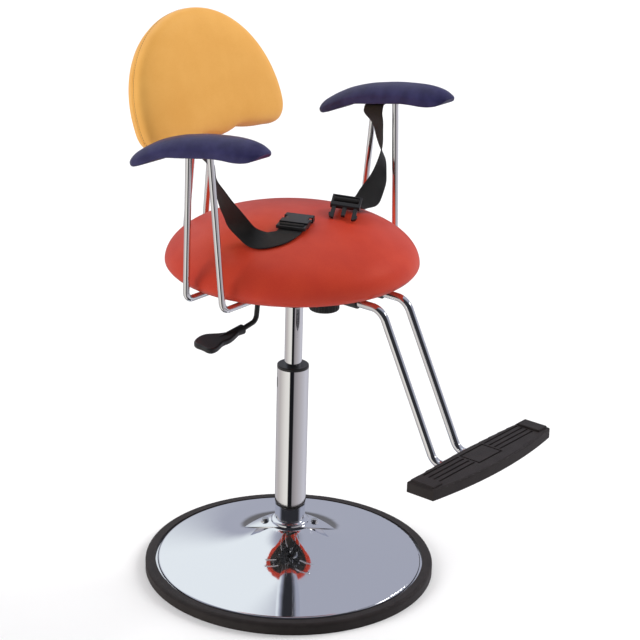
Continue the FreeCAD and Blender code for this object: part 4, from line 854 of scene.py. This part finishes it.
# The buckle half, the side its first edge lies on, then the webbing's edges: how it nears the
# ladder, how it lies under the armrest, and how it hangs
belts = {
    "right": (frame_of(-67, -44, 607.6, 21, -5, 0), -1,
        ((-1.2, -0.73), (-0.24, -0.73)),
        (((-0.953, 0.143), (-1.016, -0.034), 0.0), ((-0.914, 0.126), (-0.977, -0.051), 0.0),
         ((-0.895, 0.118), (-0.958, -0.060), 0.9), ((-0.883, 0.111), (-0.950, -0.065), 3.6)),
        (((-0.849, 0.080, 0.839), (-0.939, -0.078, 0.898)),
         ((-0.821, 0.059, 0.618), (-0.915, -0.074, 0.745)),
         ((-0.754, 0.090, 0.473), (-0.832, -0.060, 0.591)),
         ((-0.693, 0.108, 0.288), (-0.734, -0.054, 0.420)),
         ((-0.633, 0.119, 0.131), (-0.631, -0.053, 0.253)),
         ((-0.594, 0.101, -0.001), (-0.550, -0.055, 0.115)),
         ((-0.594, 0.010, -0.080), (-0.519, -0.065, 0.058)),
         ((-0.614, -0.126, -0.128), (-0.479, -0.090, 0.007)),
         ((-0.582, -0.226, -0.120), (-0.442, -0.106, -0.022)),
         ((-0.506, -0.291, -0.095), (-0.415, -0.111, -0.036)),
         ((-0.433, -0.322, -0.073), (-0.388, -0.126, -0.033)))),
    "left": (frame_of(64, -50, 630, 205.9, 33, -5), 1,
        ((-1.15, -4.6), (-1.1, -3.4), (-1.0, -2.3), (-0.74, -1.4), (-0.3, -0.88)),
        (((0.946, 0.146), (1.040, -0.045), 0.2), ((0.936, 0.148), (0.950, -0.043), 0.0),
         ((0.925, 0.152), (0.925, -0.039), 0.9), ((0.919, 0.155), (0.919, -0.036), 3.6)),
        (((0.921, 0.158, 0.861), (0.910, -0.038, 0.905)),
         ((0.947, 0.114, 0.769), (0.891, -0.061, 0.833)),
         ((0.990, 0.088, 0.593), (0.895, -0.063, 0.664)),
         ((1.002, 0.037, 0.407), (0.876, -0.075, 0.504)),
         ((0.993, -0.015, 0.311), (0.846, -0.069, 0.380)),
         ((0.944, -0.072, 0.199), (0.784, -0.069, 0.248)),
         ((0.844, -0.158, 0.114), (0.691, -0.074, 0.147)),
         ((0.722, -0.226, 0.015), (0.605, -0.085, 0.073)),
         ((0.614, -0.261, -0.055), (0.506, -0.101, 0.007)),
         ((0.519, -0.256, -0.051), (0.420, -0.085, -0.011)),
         ((0.456, -0.271, -0.033), (0.366, -0.101, -0.004))))}


def webbing_paint(start):
    """Black nylon webbing: ribs along it, crossed by the weft, with random dust, a painted highlight on top
    and painted shade between, shiny there.
    """
    where = start.node("TexCoord", out="UV")
    parts = [start.node("SeparateXYZ", inputs={0: where}, out=axis) for axis in "XY"]
    rib_pitch, weft_pitch = 0.0024, 0.0019
    rib = start.maths("SINE", parts[0] * (2 * math.pi / rib_pitch))
    weft = start.maths("SINE", parts[1] * (2 * math.pi / weft_pitch))
    weave = rib * weft * 0.5 + 0.5
    fuzz = grained(start, 0.0005, 3.0)
    # clean is the black of the hollows and dusty the lighter tone. The weave's crests get the lighter tone as
    # a painted highlight, the hollows get the black as painted shade, and the fuzz adds random dust.
    clean, dusty = (0.004, 0.004, 0.004, 1), (0.020, 0.018, 0.017, 1)
    shade = (weave * 0.7 + fuzz * 0.4).step(0.2, 1.0).blend(clean, dusty)
    return surface(start, Base_Color=shade, Roughness=fuzz * 0.2 + 0.52,
                   Normal=relief(start, weave * 0.8 + fuzz * 0.3, 0.00035))


webbing = material("black_webbing", webbing_paint)
# Place across the webbing, and share of its thickness there
web_section = ((-19.0, 0.35), (-18.7, 0.85), (-17.6, 1.0), (-12.0, 1.0), (-6.0, 1.0), (0.0, 1.0),
               (6.0, 1.0), (12.0, 1.0), (17.6, 1.0), (18.7, 0.85), (19.0, 0.35))
threaded_stations = 9       # at the buckle, where every station gets its ring
for word, (place, side, approach, anchor, hanging) in belts.items():
    stations = [(under_arm(*one, drop), under_arm(*other, drop)) for one, other, drop in anchor]
    stations += [(belt_place(*one), belt_place(*other)) for one, other in hanging]
    stations += threaded(place, side, approach)
    ones = np.array([tuple(one) for one, other in stations])
    others = np.array([tuple(other) for one, other in stations])
    middles = (ones + others) / 2
    lengths = np.concatenate([[0], np.cumsum(np.linalg.norm(np.diff(middles, axis=0), axis=1))])
    normals = []
    for index in range(len(stations)):
        before, after = middles[max(index - 1, 0)], middles[min(index + 1, len(stations) - 1)]
        over, along = others[index] - ones[index], after - before
        normal = np.cross(over / np.linalg.norm(over), along / np.linalg.norm(along))
        normals.append(normal / np.linalg.norm(normal) * (web_thickness / 2))
    normals = np.array(normals)
    at = np.unique(np.concatenate([np.arange(0, lengths[-1], web_step), lengths[-threaded_stations:]]))
    lines = [natural(lengths, line, at) for line in (ones + normals, others + normals, others - normals,
                                                     ones - normals)]
    rings = []
    for high_one, high_other, low_other, low_one in zip(*lines):
        ring = []
        for face in (1, -1):
            for x, thin in web_section[::face]:
                share = (x + web_half) / web_width
                high = high_one + (high_other - high_one) * share
                low = low_one + (low_other - low_one) * share
                ring.append(tuple((high + low) / 2 + face * thin * (high - low) / 2))
        rings.append(ring)
    rings = [[tuple(np.mean(rings[0], axis=0))]] + rings + [[tuple(np.mean(rings[-1], axis=0))]]
    web = skin("belt_web_" + word, rings)
    sheet_map = web.data.uv_layers.new(name="UVMap")
    ring_size = 2 * len(web_section)
    widths = [x / 1000 for x, thin in web_section + web_section[::-1]]
    for loop in web.data.loops:
        index = loop.vertex_index - 1
        if index < 0 or index >= ring_size * len(at):
            sheet_map.data[loop.index].uv = (0, at[0 if index < 0 else -1] / 1000)
        else:
            sheet_map.data[loop.index].uv = (widths[index % ring_size], at[index // ring_size] / 1000)
    web.data.materials.append(webbing)
    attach(web, "seat")
    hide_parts("strap_" + word)
dress(plastic, "buckle_socket", "buckle_plug")
